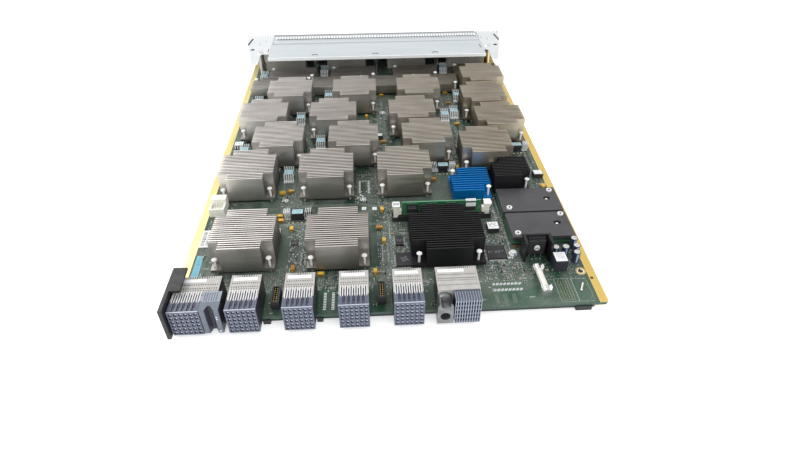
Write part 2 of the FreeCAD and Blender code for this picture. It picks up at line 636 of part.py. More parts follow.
# ---------------------------------------------------------------- power corner
conv = [(dim("converter_rear_x0", 116.0), dim("converter_rear_x1", 176.3),
         dim("converter_rear_y0", 115.0), dim("converter_rear_y1", 153.6), (123.0, 120.2), (170.0, 147.6), (164.5, 135.5)),
        (dim("converter_front_x0", 117.0), dim("converter_front_x1", 176.3),
         dim("converter_front_y0", 75.6), dim("converter_front_y1", 112.4), (122.8, 81.0), (170.4, 107.6), (164.3, 96.0))]
conv_z0 = dim("converter_board_z", 2.2)
conv_z1 = dim("converter_top_z", 10.0)
plate_z = dim("converter_plate_z", 6.4)
boards, plates = [], []
for x0, x1, y0, y1, s1, s2, eye in conv:
    legs = [rod(x, y, 0.02, 0.8, conv_z0 + 0.2) for x, y in
            ((x0 + 4, y0 + 4), (x0 + 4, y1 - 4), (x1 - 4, y0 + 4), (x1 - 4, y1 - 4), (x0 + 4, (y0 + y1) / 2),
             (x1 - 4, (y0 + y1) / 2))]
    cores = [box(x0 + 14, x0 + 30, y0 + 8, y1 - 8, conv_z0 + 1.5, plate_z - 0.05),
             box(x0 + 36, x0 + 48, y0 + 8, y1 - 8, conv_z0 + 1.5, plate_z - 0.05)]
    boards.append(join([box(x0, x1, y0 + 0.3, y1 - 0.3, conv_z0, conv_z0 + 1.6)] + legs + cores, "converter_board"))
    plates.append(cut(box(x0, x1, y0, y1, plate_z, conv_z1), [
        rod(eye[0] - 1.0, eye[1], plate_z - 1, 2.6, 6.0), rod(eye[0] + 1.0, eye[1], plate_z - 1, 2.6, 6.0),
        box(eye[0] - 1.0, eye[0] + 1.0, eye[1] - 2.6, eye[1] + 2.6, plate_z - 1, conv_z1 + 1),
        rod(s1[0], s1[1], plate_z - 1, 1.5, 6.0), rod(s2[0], s2[1], plate_z - 1, 1.5, 6.0)], "converter_plate"))
node("converter_boards", boards)
node("converter_baseplates", plates)
screw_master = cut(join([rod(0.0, 0.0, 0.0, 2.8, 1.7), rod(0.0, 0.0, -1.6, 1.4, 1.7)], "screw_blank"), [
    box(-1.9, 1.9, -0.4, 0.4, 0.8, 2.0), box(-0.4, 0.4, -1.9, 1.9, 0.8, 2.0)], "cross_screw")
tall_x, tall_y = place("ground_screw", 115.6, 64.6)
ground = cut(join([rod(tall_x, tall_y, 0.02, 3.2, 0.8), rod(tall_x, tall_y, 0.8, 2.7, 1.9)]), [
    box(tall_x - 1.8, tall_x + 1.8, tall_y - 0.4, tall_y + 0.4, 1.8, 3.0),
    box(tall_x - 0.4, tall_x + 0.4, tall_y - 1.8, tall_y + 1.8, 1.8, 3.0)])
node("board_screws", [link(screw_master, x, y, conv_z1 + 0.02)
                      for x, y in ((123.0, 120.2), (170.0, 147.6), (122.8, 81.0), (170.4, 107.6))] + [ground])

fin_x, fin_y = place("transistor_sink", 134.9, 60.0)
fin_z1 = dim("transistor_sink_top_z", 21.8)
node("transistor_heatsink", [prism("u_extrusion", [
    (-12.7, -7.8), (-10.7, -7.8), (-10.0, -4.0), (-10.0, 4.4), (10.0, 4.4), (10.0, -4.0), (10.7, -7.8),
    (12.7, -7.8), (12.9, -4.8), (12.1, -3.6), (12.9, -2.4), (12.9, -0.6), (12.1, 0.6), (12.9, 1.8),
    (12.9, 3.4), (12.1, 4.6), (12.9, 5.4), (12.9, 6.2), (-12.9, 6.2), (-12.9, 5.4), (-12.1, 4.6), (-12.9, 3.4),
    (-12.9, 1.8), (-12.1, 0.6), (-12.9, -0.6), (-12.9, -2.4), (-12.1, -3.6), (-12.9, -4.8)],
    0.05, fin_z1, (fin_x, fin_y, 0))])
fixing_z = dim("transistor_screw_z", 11.4)
node("power_transistor", [join([
    box(fin_x - 7.7, fin_x + 7.7, fin_y - 0.3, fin_y + 3.4, 2.4, 18.2),
    box(fin_x - 7.7, fin_x + 7.7, fin_y + 2.6, fin_y + 4.34, 2.4, 20.2),
    rod(fin_x, fin_y - 1.5, fixing_z, 2.4, 3.0, "y"),
    box(fin_x - 0.6, fin_x + 0.6, fin_y + 0.6, fin_y + 1.5, 0.03, 3.0),
    box(fin_x - 6.0, fin_x - 4.8, fin_y + 0.6, fin_y + 1.5, 0.03, 3.0),
    box(fin_x + 4.8, fin_x + 6.0, fin_y + 0.6, fin_y + 1.5, 0.03, 3.0)], "transistor")])

relay_x, relay_y = place("relay", 152.6, 45.4)
node("relay", [box(relay_x - 5.6, relay_x + 5.6, relay_y - 6.5, relay_y + 6.5, 0.05, dim("relay_top_z", 11.6))])
can_r = dim("capacitor_radius", 3.2)
can_z = dim("capacitor_height", 11.4)
can = join([rod(0.0, 0.0, 0.05, can_r, can_z - 0.4), rod(0.0, 0.0, 1.0, can_r - 0.45, can_z - 1.0)], "can")
node("electrolytic_capacitors", [link(can, x, y) for x, y in
                                 ((152.5, 59.0), (161.7, 59.1), (172.8, 70.4), (172.1, 60.2), (169.6, 51.2))])

fuse_x, fuse_y = place("fuse", 131.5, 24.6)
fuse_half = dim("fuse_half_length", 16.0)
fuse_r = dim("fuse_radius", 3.1)
fuse_z = dim("fuse_axis_z", 6.0)
tube = join([rod(0.0, -fuse_half + 1.0, fuse_z, fuse_r - 0.25, fuse_half * 2 - 2.0, "y"),
             rod(0.0, -fuse_half, fuse_z, fuse_r, 6.2, "y"), rod(0.0, fuse_half - 6.2, fuse_z, fuse_r, 6.2, "y")],
            "fuse_tube")
node("ceramic_fuse", [link(tube, fuse_x, fuse_y, 0.0, 1.5)])
clip = cut(box(-4.2, 4.2, -2.8, 2.8, 0.05, 7.6, "clip_block"), [
    rod(0.0, -3.4, fuse_z, fuse_r + 0.05, 6.8, "y"), box(-2.4, 2.4, -3.4, 3.4, fuse_z, 9.0)], "clip_cut")
node("fuse_clips", [link(clip, fuse_x - 0.33, fuse_y + 12.6, 0.0, 1.5), link(clip, fuse_x + 0.33, fuse_y - 12.6, 0.0, 1.5)])

# ------------------------------------------------------------ small components
tant = join([box(-3.0, 3.0, -1.7, 1.7, 0.25, 2.7), box(-3.3, -2.0, -1.2, 1.2, 0.05, 1.5), box(2.0, 3.3, -1.2, 1.2, 0.05, 1.5)],
            "tantalum")
TANT = [(-105.7, 172.1, 10), (-97.2, 174.3, 0), (-104.4, 131.7, 0), (-102.8, 124.6, 0), (-90.8, 111.0, 90),
        (-84.6, 55.1, 90), (-59.7, 46.4, 0), (-11.4, 46.9, 90), (-2.4, 137.1, 90), (-6.0, 108.4, 0),
        (-2.2, 88.6, 90), (93.7, 399.6, 0), (94.2, 368.2, 0), (98.0, 310.3, 0), (4.9, 397.0, 0),
        (-15.7, 337.2, 90), (3.9, 271.6, 0), (84.4, 210.0, 90), (55.1, 188.5, 0), (170.7, 167.5, 90)]
node("tantalum_capacitors", [link(tant, dim("tantalum_%d_x" % (i + 1), x), dim("tantalum_%d_y" % (i + 1), y), 0.0, a)
                             for i, (x, y, a) in enumerate(TANT)])

reg = join([box(-5.0, 5.0, -4.6, 4.0, 0.1, 4.4), box(-5.2, 5.2, 3.8, 6.0, 0.05, 1.6)], "regulator")
REG = [(-161.3, 458.4, 0), (-76.0, 474.5, 0), (99.6, 474.5, 0), (107.9, 382.5, 180), (97.2, 336.0, 180),
       (84.4, 327.0, 0), (159.3, 247.5, 180), (67.8, 209.0, 180), (-166.9, 272.5, 180), (-157.6, 252.0, 0),
       (-101.5, 202.0, 180), (-70.5, 268.0, 0), (-66.1, 391.0, 180), (-98.6, 329.0, 180), (-158.0, 377.0, 0),
       (-2.0, 285.0, 180)]
big_reg_x, big_reg_y = place("large_regulator", -86.2, 131.5)
large_reg = join([
    box(big_reg_x - 6.6, big_reg_x + 6.6, big_reg_y - 5.6, big_reg_y + 6.6, 0.05, 5.6),
    box(big_reg_x - 13.2, big_reg_x + 13.2, big_reg_y - 1.6, big_reg_y + 8.0, 0.05, 3.4)], "large_regulator_body")
node("voltage_regulators", [link(reg, dim("regulator_%d_x" % (i + 1), x), dim("regulator_%d_y" % (i + 1), y), 0.0, a)
                            for i, (x, y, a) in enumerate(REG)] + [large_reg])

CHIPS = [("quad_flat_chip", 15.5, 60.8, 15.4, 17.4, 2.4), ("small_outline_chip", 12.3, 88.0, 7.6, 13.4, 2.0),
         ("grey_chip", 100.4, 66.0, 17.6, 18.0, 1.9), ("edge_module", 170.2, 189.8, 10.4, 8.6, 5.2),
         ("labelled_relay", 103.4, 100.6, 10.8, 11.0, 5.2), ("driver_chip", -68.0, 228.0, 8.0, 10.0, 1.8),
         ("clock_chip", 5.5, 226.0, 8.0, 8.0, 1.6), ("memory_chip_left", -70.5, 345.0, 9.0, 12.0, 1.4),
         ("bus_chip", 63.0, 142.0, 12.0, 8.0, 1.8), ("supervisor_chip", -86.0, 90.0, 7.0, 7.0, 1.5)]
flat = []
for name, x, y, w, d, z in CHIPS:
    px, py = place(name, x, y)
    flat.append(box(px - w / 2, px + w / 2, py - d / 2, py + d / 2, 0.1, dim(name + "_top_z", z), name))
node("flat_chips", flat)

node("box_headers", [cut(box(x - 3.6, x + 3.6, y - 9.2, y + 9.2, 0.05, 9.0), [
    box(x - 1.95, x + 1.95, y - 8.1, y + 8.1, 2.4, 10.0)], "box_header")
    for x, y in (place("box_header_left", -94.4, 17.0), place("box_header_mid", -6.8, 17.6))])
side_x, side_y = place("side_connector", -166.4, 146.5)
node("side_connector", [cut(join([
    box(side_x - 7.6, side_x + 7.6, side_y - 10.6, side_y + 10.6, 0.05, 9.0),
    box(side_x - 7.6, side_x + 7.6, side_y + 2.0, side_y + 10.6, 0.05, 12.4)]), [
    box(side_x - 5.6, side_x + 5.6, side_y - 8.6, side_y + 0.6, 5.4, 13.0)], "side_socket")])

# -------------------------------------------------------------------- faceplate
# One bent sheet: front panel, top flange over the cages, bottom flange that
# carries the rear edge of the board.
slot_low0, slot_low1 = arm_low - 0.35, arm_low + arm_t + 0.35
slot_up0, slot_up1 = arm_high - 0.35, arm_high + arm_t + 0.35
flange_z = face_z1 - 1.2
panel = join([
    box(-face_half, face_half, face_y0, face_y1, face_z0, face_z1, "panel"),
    box(-151.0, 157.2, dim("top_flange_back_y", 495.0), face_y0 + 0.5, flange_z - 1.2, flange_z, "top_flange"),
    box(-170.0, 170.0, dim("bottom_flange_back_y", 514.0), face_y0 + 0.5, -board_t - 1.6, -board_t, "low_flange"),
    box(pivot_x - 3.6, pivot_x + 3.6, face_y1 - 0.5, pivot_y + 3.0, arm_low + arm_t + 0.4, arm_low + arm_t + 3.4, "lug"),
    box(pivot_x - 3.6, pivot_x + 3.6, face_y1 - 0.5, pivot_y + 3.0, arm_high - 3.4, arm_high - 0.4, "lug"),
    box(-pivot_x - 3.6, -pivot_x + 3.6, face_y1 - 0.5, pivot_y + 3.0, arm_low + arm_t + 0.4, arm_low + arm_t + 3.4, "lug"),
    box(-pivot_x - 3.6, -pivot_x + 3.6, face_y1 - 0.5, pivot_y + 3.0, arm_high - 3.4, arm_high - 0.4, "lug")],
    "bent_sheet")
apertures = []
for i in range(4):
    cx = cage_first + cage_pitch * i
    apertures.append(box(cx - cage_w / 2 - 0.15, cx + cage_w / 2 + 0.15, face_y0 - 1, face_y1 + 1,
                         cage_z0 - 0.15, cage_z1 + 0.15, "aperture"))
for sx in (-1, 1):
    inner = pivot_x * sx - 10.5 * sx
    outer = face_half * sx + 1.0 * sx
    a, c = (outer, inner) if sx < 0 else (inner, outer)
    apertures.append(box(a, c, face_y0 - 1, face_y1 + 0.001, slot_low0, slot_low1, "claw_slot"))
    apertures.append(box(a, c, face_y0 - 1, face_y1 + 0.001, slot_up0, slot_up1, "claw_slot"))
    apertures.append(rod(screw_x * sx, face_y0 - 1, screw_z, screw_r + 0.08, 6.0, "y", "screw_bore"))
    apertures.append(rod(pivot_x * sx, pivot_y, arm_low, pivot_r, arm_high + arm_t - arm_low, "z", "pin_bore"))
node("faceplate", [cut(panel, apertures, "faceplate_cut")])

cage = body("cage_master")
cz = cage_z1 - cage_z0
pad(cage, sketch(cage, "XY", [rect(-cage_w / 2, cage_w / 2, cage_y0, cage_y1)]), cz)
px0 = -port_pitch * 1.5 - port_w / 2
sk = sketch(cage, "XZ", [rect(px0, px0 + port_w, port_low_z - cage_z0, port_low_z - cage_z0 + port_high),
                         rect(px0, px0 + port_w, port_up_z - cage_z0, port_up_z - cage_z0 + port_high)],
            "port_pair", -cage_y1)
# the ports run back from the mouths, which face +Y
ports = repeat(cage, pocket(cage, sk, port_deep, back=True), sk, "H_Axis", port_pitch * 3, 4)
cage.Tip = ports
for i in range(4):
    node("port_cage_%d" % (i + 1), [link(cage, cage_first + cage_pitch * i, 0.0, cage_z0)])

# contact-finger strip along the top of the faceplate
strip = body("finger_strip_master")
strip_y0 = dim("finger_strip_back_y", 520.5)
strip_x1 = dim("finger_strip_half_length", 150.0)
finger_p = dim("finger_pitch", 5.0)
pad(strip, sketch(strip, "XY", [rect(-strip_x1, strip_x1, strip_y0, strip_y0 + 3.0)]), 0.4)
sk = sketch(strip, "YZ", [[(strip_y0 + 2.0, 0.0), (strip_y0 + 4.0, 0.0), (strip_y0 + 10.0, 0.5), (strip_y0 + 16.0, 0.0),
                           (strip_y0 + 17.4, 0.0), (strip_y0 + 17.4, 0.4), (strip_y0 + 10.0, 1.1),
                           (strip_y0 + 2.0, 0.4)]], "finger", -strip_x1)
fing = pad(strip, sk, finger_p - 0.8)
strip.Tip = repeat(strip, fing, sk, "N_Axis", strip_x1 * 2 - finger_p, 60)
node("contact_finger_strip", [link(strip, 3.0, 0.0, flange_z + 0.02)])

# cover plate over the rear row, with a down-turned lip and three vent slots
cov_x0, cov_x1 = dim("cover_left_x", -151.0), dim("cover_right_x", 157.2)
cov_y0, cov_y1 = dim("cover_front_y", 448.0), dim("cover_back_y", 501.0)
cover = join([box(cov_x0, cov_x1, cov_y0, cov_y1, flange_z + 0.02, face_z1, "cover_sheet"),
              box(cov_x0, cov_x1, cov_y0, cov_y0 + 1.2, flange_z - 2.6, face_z1, "cover_lip")], "cover_bent")
vents = []
for vx in (-86.0, -0.4, 85.3):
    vents.append(cut(rod(vx, 457.6, flange_z - 1, 4.6, 4.0), [rod(vx, 456.4, flange_z - 2, 4.2, 6.0),
                                                              box(vx - 6, vx + 6, 450.0, 457.6, flange_z - 2, face_z1 + 2)],
                     "arch_slot"))
node("cover_plate", [cut(cover, vents, "cover_cut")])

# end brackets from the faceplate back over the card's rear corners
def bracket(name, side, inner):
    pts = [(inner, 466.0), (inner, 538.3), (192.6, 538.3), (186.2, 498.0), (177.0, 456.0), (171.2, 430.0),
           (161.8, 430.0), (162.8, 459.6), (160.2, 466.0)]
    pts = [(num(x) * side, y) for x, y in pts]
    if side > 0:
        pts = pts[::-1]
    plate = prism(name, pts, flange_z + 0.02, face_z1)
    tab = box(*((161.0, 172.0) if side > 0 else (-172.0, -161.0)), 536.9, 538.4, 29.5, flange_z + 0.5, "tab")
    tools = [rod(176.6 * side, 482.0, flange_z - 1, 3.2, 4.0), rod(165.0 * side, 452.3, flange_z - 1, 1.3, 4.0),
             rod(170.8 * side, 452.0, flange_z - 1, 1.3, 4.0),
             box(*((163.4, 168.2) if side > 0 else (-168.2, -163.4)), 434.6, 437.4, flange_z - 1, face_z1 + 1),
             prism(name + "_slot", [(181.2 * side, 525.0), (184.6 * side, 500.0), (187.0 * side, 500.4),
                                    (183.6 * side, 525.4)] if side < 0 else
                   [(183.6, 525.4), (187.0, 500.4), (184.6, 500.0), (181.2, 525.0)], flange_z - 1, face_z1 + 1)]
    return cut(join([plate, tab], name + "_bent"), tools, name + "_cut")


node("end_bracket_left", [bracket("bracket_left", -1, 151.2)])
node("end_bracket_right", [bracket("bracket_right", 1, 157.4)])
post_y = dim("post_y", 470.0)
node("end_post_left", [join([rod(-163.6, post_y, 0.05, 4.0, flange_z - 0.05), rod(-163.6, post_y, 0.05, 5.2, 2.0)])])
node("end_post_right", [join([rod(165.2, 479.0, 0.05, 4.0, flange_z - 0.05), rod(165.2, 479.0, 0.05, 5.2, 2.0)])])
node("cover_standoffs", [rod(x, 480.5, 0.05, 2.8, flange_z - 0.03)
                         for x in (dim("standoff_left_x", -87.3), dim("standoff_mid_x", 0.8),
                                   dim("standoff_right_x", 90.0))])
node("bracket_screws", [join([taper(x, y, face_z1, 4.6, 3.6, 1.2), rod(x, y, face_z1, 2.0, 1.5)])
                        for x, y in ((-163.6, post_y), (165.2, num(479.0)))])


# ------------------------------------------------------------- ejector levers
def lever(name, side):
    """Fork-shaped ejector: two flat arms with rear claws, joined by a tip bar."""
    arms = []
    for z0 in (arm_low, arm_high):
        pts = [(-21.9, -2.1), (-5.6, -2.1), (-2.6, -3.0), (-1.4, -10.0), (1.4, -15.6), (6.2, -15.6), (6.2, -12.6),
               (3.6, -11.0), (2.6, -3.2), (3.6, -1.6), (3.6, 1.8), (2.2, 3.6), (-4.0, 3.6), (-21.9, 4.5)]
        pts = [(num(x) * side, y) for x, y in pts]
        if side < 0:
            pts = pts[::-1]
        arms.append(prism(name + "_arm", pts, z0, z0 + arm_t, (pivot_x * side, pivot_y, 0)))
    tip = (pivot_x * side - 21.9 * side, pivot_x * side - 18.6 * side)
    x0, x1 = tip if side > 0 else (tip[1], tip[0])
    bar = box(x0, x1, pivot_y - 2.1, pivot_y + 4.5, arm_low, arm_high + arm_t, "tip_bar")
    return cut(join(arms + [bar], name + "_fork"), [
        rod(pivot_x * side, pivot_y, arm_low - 1, pivot_r + pivot_gap, arm_high + arm_t + 3, "z")], name)


node("ejector_lever_left", [lever("lever_left", -1)])
node("ejector_lever_right", [lever("lever_right", 1)])
node("lever_pins", [join([rod(pivot_x * s, pivot_y, arm_low - 1.2, pivot_r, arm_high + arm_t + 2.2 - arm_low),
                          rod(pivot_x * s, pivot_y, arm_low - 1.9, 2.4, 0.9),
                          rod(pivot_x * s, pivot_y, arm_high + arm_t + 0.9, 2.4, 0.9)]) for s in (-1, 1)])


# ------------------------------------------------------------- captive screws
def captive(side):
    x = screw_x * side
    head = cut(join([rod(x, face_y1 + 0.9, screw_z, screw_head_r, 6.2, "y"),
                     rod(x, dim("captive_tip_y_%s" % ("right" if side > 0 else "left"), 527.6), screw_z, 1.75, 7.0, "y"),
                     rod(x, 534.0, screw_z, screw_r, 8.4, "y")], "captive_blank"), [
        box(x - 0.5, x + 0.5, face_y1 + 6.0, face_y1 + 9.0, screw_z - 5.0, screw_z + 5.0)], "captive_slotted")
    return head


node("captive_screw_left", [captive(-1)])
node("captive_screw_right", [captive(1)])
for s, label in ((-1, "captive_washer_left"), (1, "captive_washer_right")):
    node(label, [cut(rod(screw_x * s, face_y1 + 0.08, screw_z, 3.4, 0.7, "y"), [
        rod(screw_x * s, face_y1 - 1, screw_z, screw_r + 0.06, 4.0, "y")])])

# --------------------------------------------------------------------- export
doc.recompute()
bad = []
for o in doc.Objects:
    if "Invalid" in o.State or "Error" in o.State:
        bad.append(o.Label + " " + str(o.State))
os.makedirs("parts", exist_ok=True)
for o in EXPORT:
    sh = o.Shape
    if sh.isNull() or not sh.isValid() or not sh.Solids:
        bad.append(o.Label + " shape")
        continue
    sh.exportStep("parts/%s.step" % o.Label)
if bad:
    raise RuntimeError("; ".join(bad))
box_all = None
for o in EXPORT:
    bb = o.Shape.BoundBox
    if box_all is None:
        box_all = FreeCAD.BoundBox(bb)
    else:
        box_all.add(bb)
print("nodes", len(EXPORT), "box", box_all)
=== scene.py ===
import math
import random

import bpy
import numpy as np
from mathutils import Euler, Matrix, Vector


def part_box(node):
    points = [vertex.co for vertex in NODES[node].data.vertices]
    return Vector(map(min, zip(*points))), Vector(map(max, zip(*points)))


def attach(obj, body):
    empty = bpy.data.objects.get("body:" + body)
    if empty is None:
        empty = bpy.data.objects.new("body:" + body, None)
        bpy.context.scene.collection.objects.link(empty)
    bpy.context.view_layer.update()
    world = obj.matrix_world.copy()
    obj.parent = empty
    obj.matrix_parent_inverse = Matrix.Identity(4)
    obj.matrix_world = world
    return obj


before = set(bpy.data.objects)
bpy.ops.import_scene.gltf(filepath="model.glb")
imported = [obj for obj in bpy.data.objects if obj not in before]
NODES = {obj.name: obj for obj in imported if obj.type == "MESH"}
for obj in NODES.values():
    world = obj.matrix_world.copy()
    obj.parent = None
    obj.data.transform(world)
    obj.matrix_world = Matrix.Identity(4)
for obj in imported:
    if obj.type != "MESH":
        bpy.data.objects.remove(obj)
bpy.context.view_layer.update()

OY, OZ = 266.35, 7.6          # card frame (mm, board front edge / board top) to part frame


def W(x, y, z):
    """Card millimetres to part metres."""
    return (x / 1000.0, (y - OY) / 1000.0, (z + OZ) / 1000.0)


def card_box(node):
    lo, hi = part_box(node)
    return (lo.x * 1000, hi.x * 1000, lo.y * 1000 + OY, hi.y * 1000 + OY, lo.z * 1000 - OZ, hi.z * 1000 - OZ)


def islands(node):
    """Card-frame box of every separate solid of a CAD node."""
    me = NODES[node].data
    n = len(me.vertices)
    co = np.zeros(n * 3)
    me.vertices.foreach_get("co", co)
    co = co.reshape(-1, 3)
    key = {}
    root = list(range(n))
    for i, c in enumerate(np.round(co, 6)):
        root[i] = key.setdefault(tuple(c), i)

    def find(a):
        while root[a] != a:
            root[a] = root[root[a]]
            a = root[a]
        return a

    for e in me.edges:
        a, b = find(e.vertices[0]), find(e.vertices[1])
        if a != b:
            root[b] = a
    out = {}
    for i in range(n):
        out.setdefault(find(i), []).append(i)
    res = []
    for ids in out.values():
        p = co[ids] * 1000
        lo, hi = p.min(0), p.max(0)
        res.append((lo[0], hi[0], lo[1] + OY, hi[1] + OY, lo[2] - OZ, hi[2] - OZ))
    return sorted(res)


# ------------------------------------------------------------------ materials
class Mat:
    """A Principled material built node by node."""

    def __init__(self, name):
        self.mat = bpy.data.materials.new(name)
        self.mat.use_nodes = True
        self.t = self.mat.node_tree
        self.bsdf = [n for n in self.t.nodes if n.type == "BSDF_PRINCIPLED"][0]
        self.tc = self.t.nodes.new("ShaderNodeTexCoord")
        self.geo = None

    def link(self, a, b):
        self.t.links.new(a, b)

    def set(self, **kw):
        for k, v in kw.items():
            k = {"metal": "Metallic", "rough": "Roughness", "spec": "Specular IOR Level", "coat": "Coat Weight",
                 "coat_rough": "Coat Roughness", "aniso": "Anisotropic", "color": "Base Color",
                 "aniso_rot": "Anisotropic Rotation", "ior": "IOR", "sheen": "Sheen Weight",
                 "trans": "Transmission Weight", "alpha": "Alpha", "emit": "Emission Color",
                 "emit_s": "Emission Strength", "sss": "Subsurface Weight"}[k]
            self.bsdf.inputs[k].default_value = (*v, 1.0) if isinstance(v, tuple) and len(v) == 3 else v

    def coords(self, stretch=(1, 1, 1), shift=(0, 0, 0)):
        m = self.t.nodes.new("ShaderNodeMapping")
        m.inputs["Scale"].default_value = stretch
        m.inputs["Location"].default_value = shift
        self.link(self.tc.outputs["Object"], m.inputs["Vector"])
        return m.outputs["Vector"]

    def noise(self, scale, detail=3, rough=0.55, stretch=(1, 1, 1), shift=(0, 0, 0), distort=0.0):
        n = self.t.nodes.new("ShaderNodeTexNoise")
        n.inputs["Scale"].default_value = scale
        n.inputs["Detail"].default_value = detail
        n.inputs["Roughness"].default_value = rough
        n.inputs["Distortion"].default_value = distort
        self.link(self.coords(stretch, shift), n.inputs["Vector"])
        return n.outputs["Fac"]

    def voronoi(self, scale, feature="F1", stretch=(1, 1, 1), out="Distance", random_=1.0, metric="EUCLIDEAN"):
        n = self.t.nodes.new("ShaderNodeTexVoronoi")
        n.feature = feature
        n.distance = metric
        n.inputs["Scale"].default_value = scale
        n.inputs["Randomness"].default_value = random_
        self.link(self.coords(stretch), n.inputs["Vector"])
        return n.outputs[out]

    def wave(self, scale, axis="X", distort=0.0, detail=1.0, stretch=(1, 1, 1), dscale=1.0):
        n = self.t.nodes.new("ShaderNodeTexWave")
        n.wave_type = "BANDS"
        n.bands_direction = axis
        n.inputs["Scale"].default_value = scale
        n.inputs["Distortion"].default_value = distort
        n.inputs["Detail"].default_value = detail
        n.inputs["Detail Scale"].default_value = dscale
        self.link(self.coords(stretch), n.inputs["Vector"])
        return n.outputs["Fac"]

    def ramp(self, fac, stops, interp="LINEAR"):
        n = self.t.nodes.new("ShaderNodeValToRGB")
        n.color_ramp.interpolation = interp
        el = n.color_ramp.elements
        while len(el) > 1:
            el.remove(el[-1])
        for i, (p, c) in enumerate(stops):
            e = el[0] if i == 0 else el.new(p)
            e.position = p
            c = (c, c, c) if isinstance(c, (int, float)) else c
            e.color = (*c, 1.0)
        self.link(fac, n.inputs["Fac"])
        return n.outputs["Color"]

    def mix(self, fac, a, b, mode="MIX"):
        n = self.t.nodes.new("ShaderNodeMix")
        n.data_type = "RGBA"
        n.blend_type = mode
        for sock, v in (("Factor", fac), ("A", a), ("B", b)):
            s = [i for i in n.inputs if i.name == sock and (i.type == "RGBA" if sock != "Factor" else i.type == "VALUE")][0]
            if isinstance(v, (int, float)):
                s.default_value = v if sock == "Factor" else (v, v, v, 1.0)
            elif isinstance(v, tuple):
                s.default_value = (*v, 1.0)
            else:
                self.link(v, s)
        return [o for o in n.outputs if o.type == "RGBA"][0]

    def math(self, op, a, b=None, clamp=False):
        n = self.t.nodes.new("ShaderNodeMath")
        n.operation = op
        n.use_clamp = clamp
        for i, v in enumerate((a, b)):
            if v is None:
                continue
            if isinstance(v, (int, float)):
                n.inputs[i].default_value = v
            else:
                self.link(v, n.inputs[i])
        return n.outputs[0]

    def xyz(self):
        n = self.t.nodes.new("ShaderNodeSeparateXYZ")
        self.link(self.tc.outputs["Object"], n.inputs[0])
        return n.outputs

    def normal(self):
        if self.geo is None:
            g = self.t.nodes.new("ShaderNodeNewGeometry")
            n = self.t.nodes.new("ShaderNodeSeparateXYZ")
            self.link(g.outputs["Normal"], n.inputs[0])
            self.geo = n.outputs
        return self.geo

    def edge_wear(self, radius, lo=0.05, hi=0.5):
        """0..1 near convex edges, from the difference of bevelled and true normals."""
        bev = self.t.nodes.new("ShaderNodeBevel")
        bev.samples = 4
        bev.inputs["Radius"].default_value = radius
        g = self.t.nodes.new("ShaderNodeNewGeometry")
        d = self.t.nodes.new("ShaderNodeVectorMath")
        d.operation = "DOT_PRODUCT"
        self.link(bev.outputs[0], d.inputs[0])
        self.link(g.outputs["True Normal"], d.inputs[1])
        inv = self.math("SUBTRACT", 1.0, d.outputs["Value"], True)
        return self.ramp(inv, [(lo, 0.0), (hi, 1.0)])

    def bump(self, height, strength=0.2, distance=0.0002, chain=None):
        n = self.t.nodes.new("ShaderNodeBump")
        n.inputs["Strength"].default_value = strength
        n.inputs["Distance"].default_value = distance
        self.link(height, n.inputs["Height"])
        if chain is not None:
            self.link(chain, n.inputs["Normal"])
        return n.outputs["Normal"]

    def out(self, color=None, rough=None, metal=None, normal=None):
        for sock, v in (("Base Color", color), ("Roughness", rough), ("Metallic", metal), ("Normal", normal)):
            if v is not None:
                self.link(v, self.bsdf.inputs[sock])
        return self.mat


def plastic(name, c1, c2, rough=(0.35, 0.55), scale=180, grain=900, bump=0.15, spec=0.5, dist=0.00008, coat=0.0):
    """Moulded plastic: faint colour mottling, fine moulding grain, uneven sheen."""
    m = Mat(name)
    m.set(spec=spec, coat=coat)
    a = m.noise(scale, 4)
    col = m.mix(m.ramp(a, [(0.3, 0.0), (0.7, 1.0)]), c1, c2)
    r = m.ramp(m.noise(scale * 0.6, 3, shift=(3, 1, 2)), [(0.3, rough[0]), (0.7, rough[1])])
    return m.out(col, r, None, m.bump(m.noise(grain, 3), bump, dist))


def metal(name, c1, c2, rough=(0.2, 0.4), scale=60, stretch=(1, 1, 1), grain=900, bump=0.08, m_=1.0, aniso=0.0, dist=0.00005,
          spec=0.5, aniso_rot=0.0):
    """Bare or plated metal: streaky roughness and a faint tint change."""
    m = Mat(name)
    m.set(metal=m_, aniso=aniso, spec=spec, aniso_rot=aniso_rot)
    a = m.noise(scale, 4, stretch=stretch)
    col = m.mix(m.ramp(a, [(0.3, 0.0), (0.7, 1.0)]), c1, c2)
    r = m.ramp(m.noise(grain, 3, stretch=stretch, shift=(1, 5, 2)), [(0.25, rough[0]), (0.75, rough[1])])
    return m.out(col, r, None, m.bump(m.noise(grain, 3, stretch=stretch), bump, dist))


def paint(node_names, mat):
    for n in ([node_names] if isinstance(node_names, str) else node_names):
        me = NODES[n].data
        if not me.materials:
            me.materials.append(mat)
        for i in range(len(me.materials)):
            me.materials[i] = mat


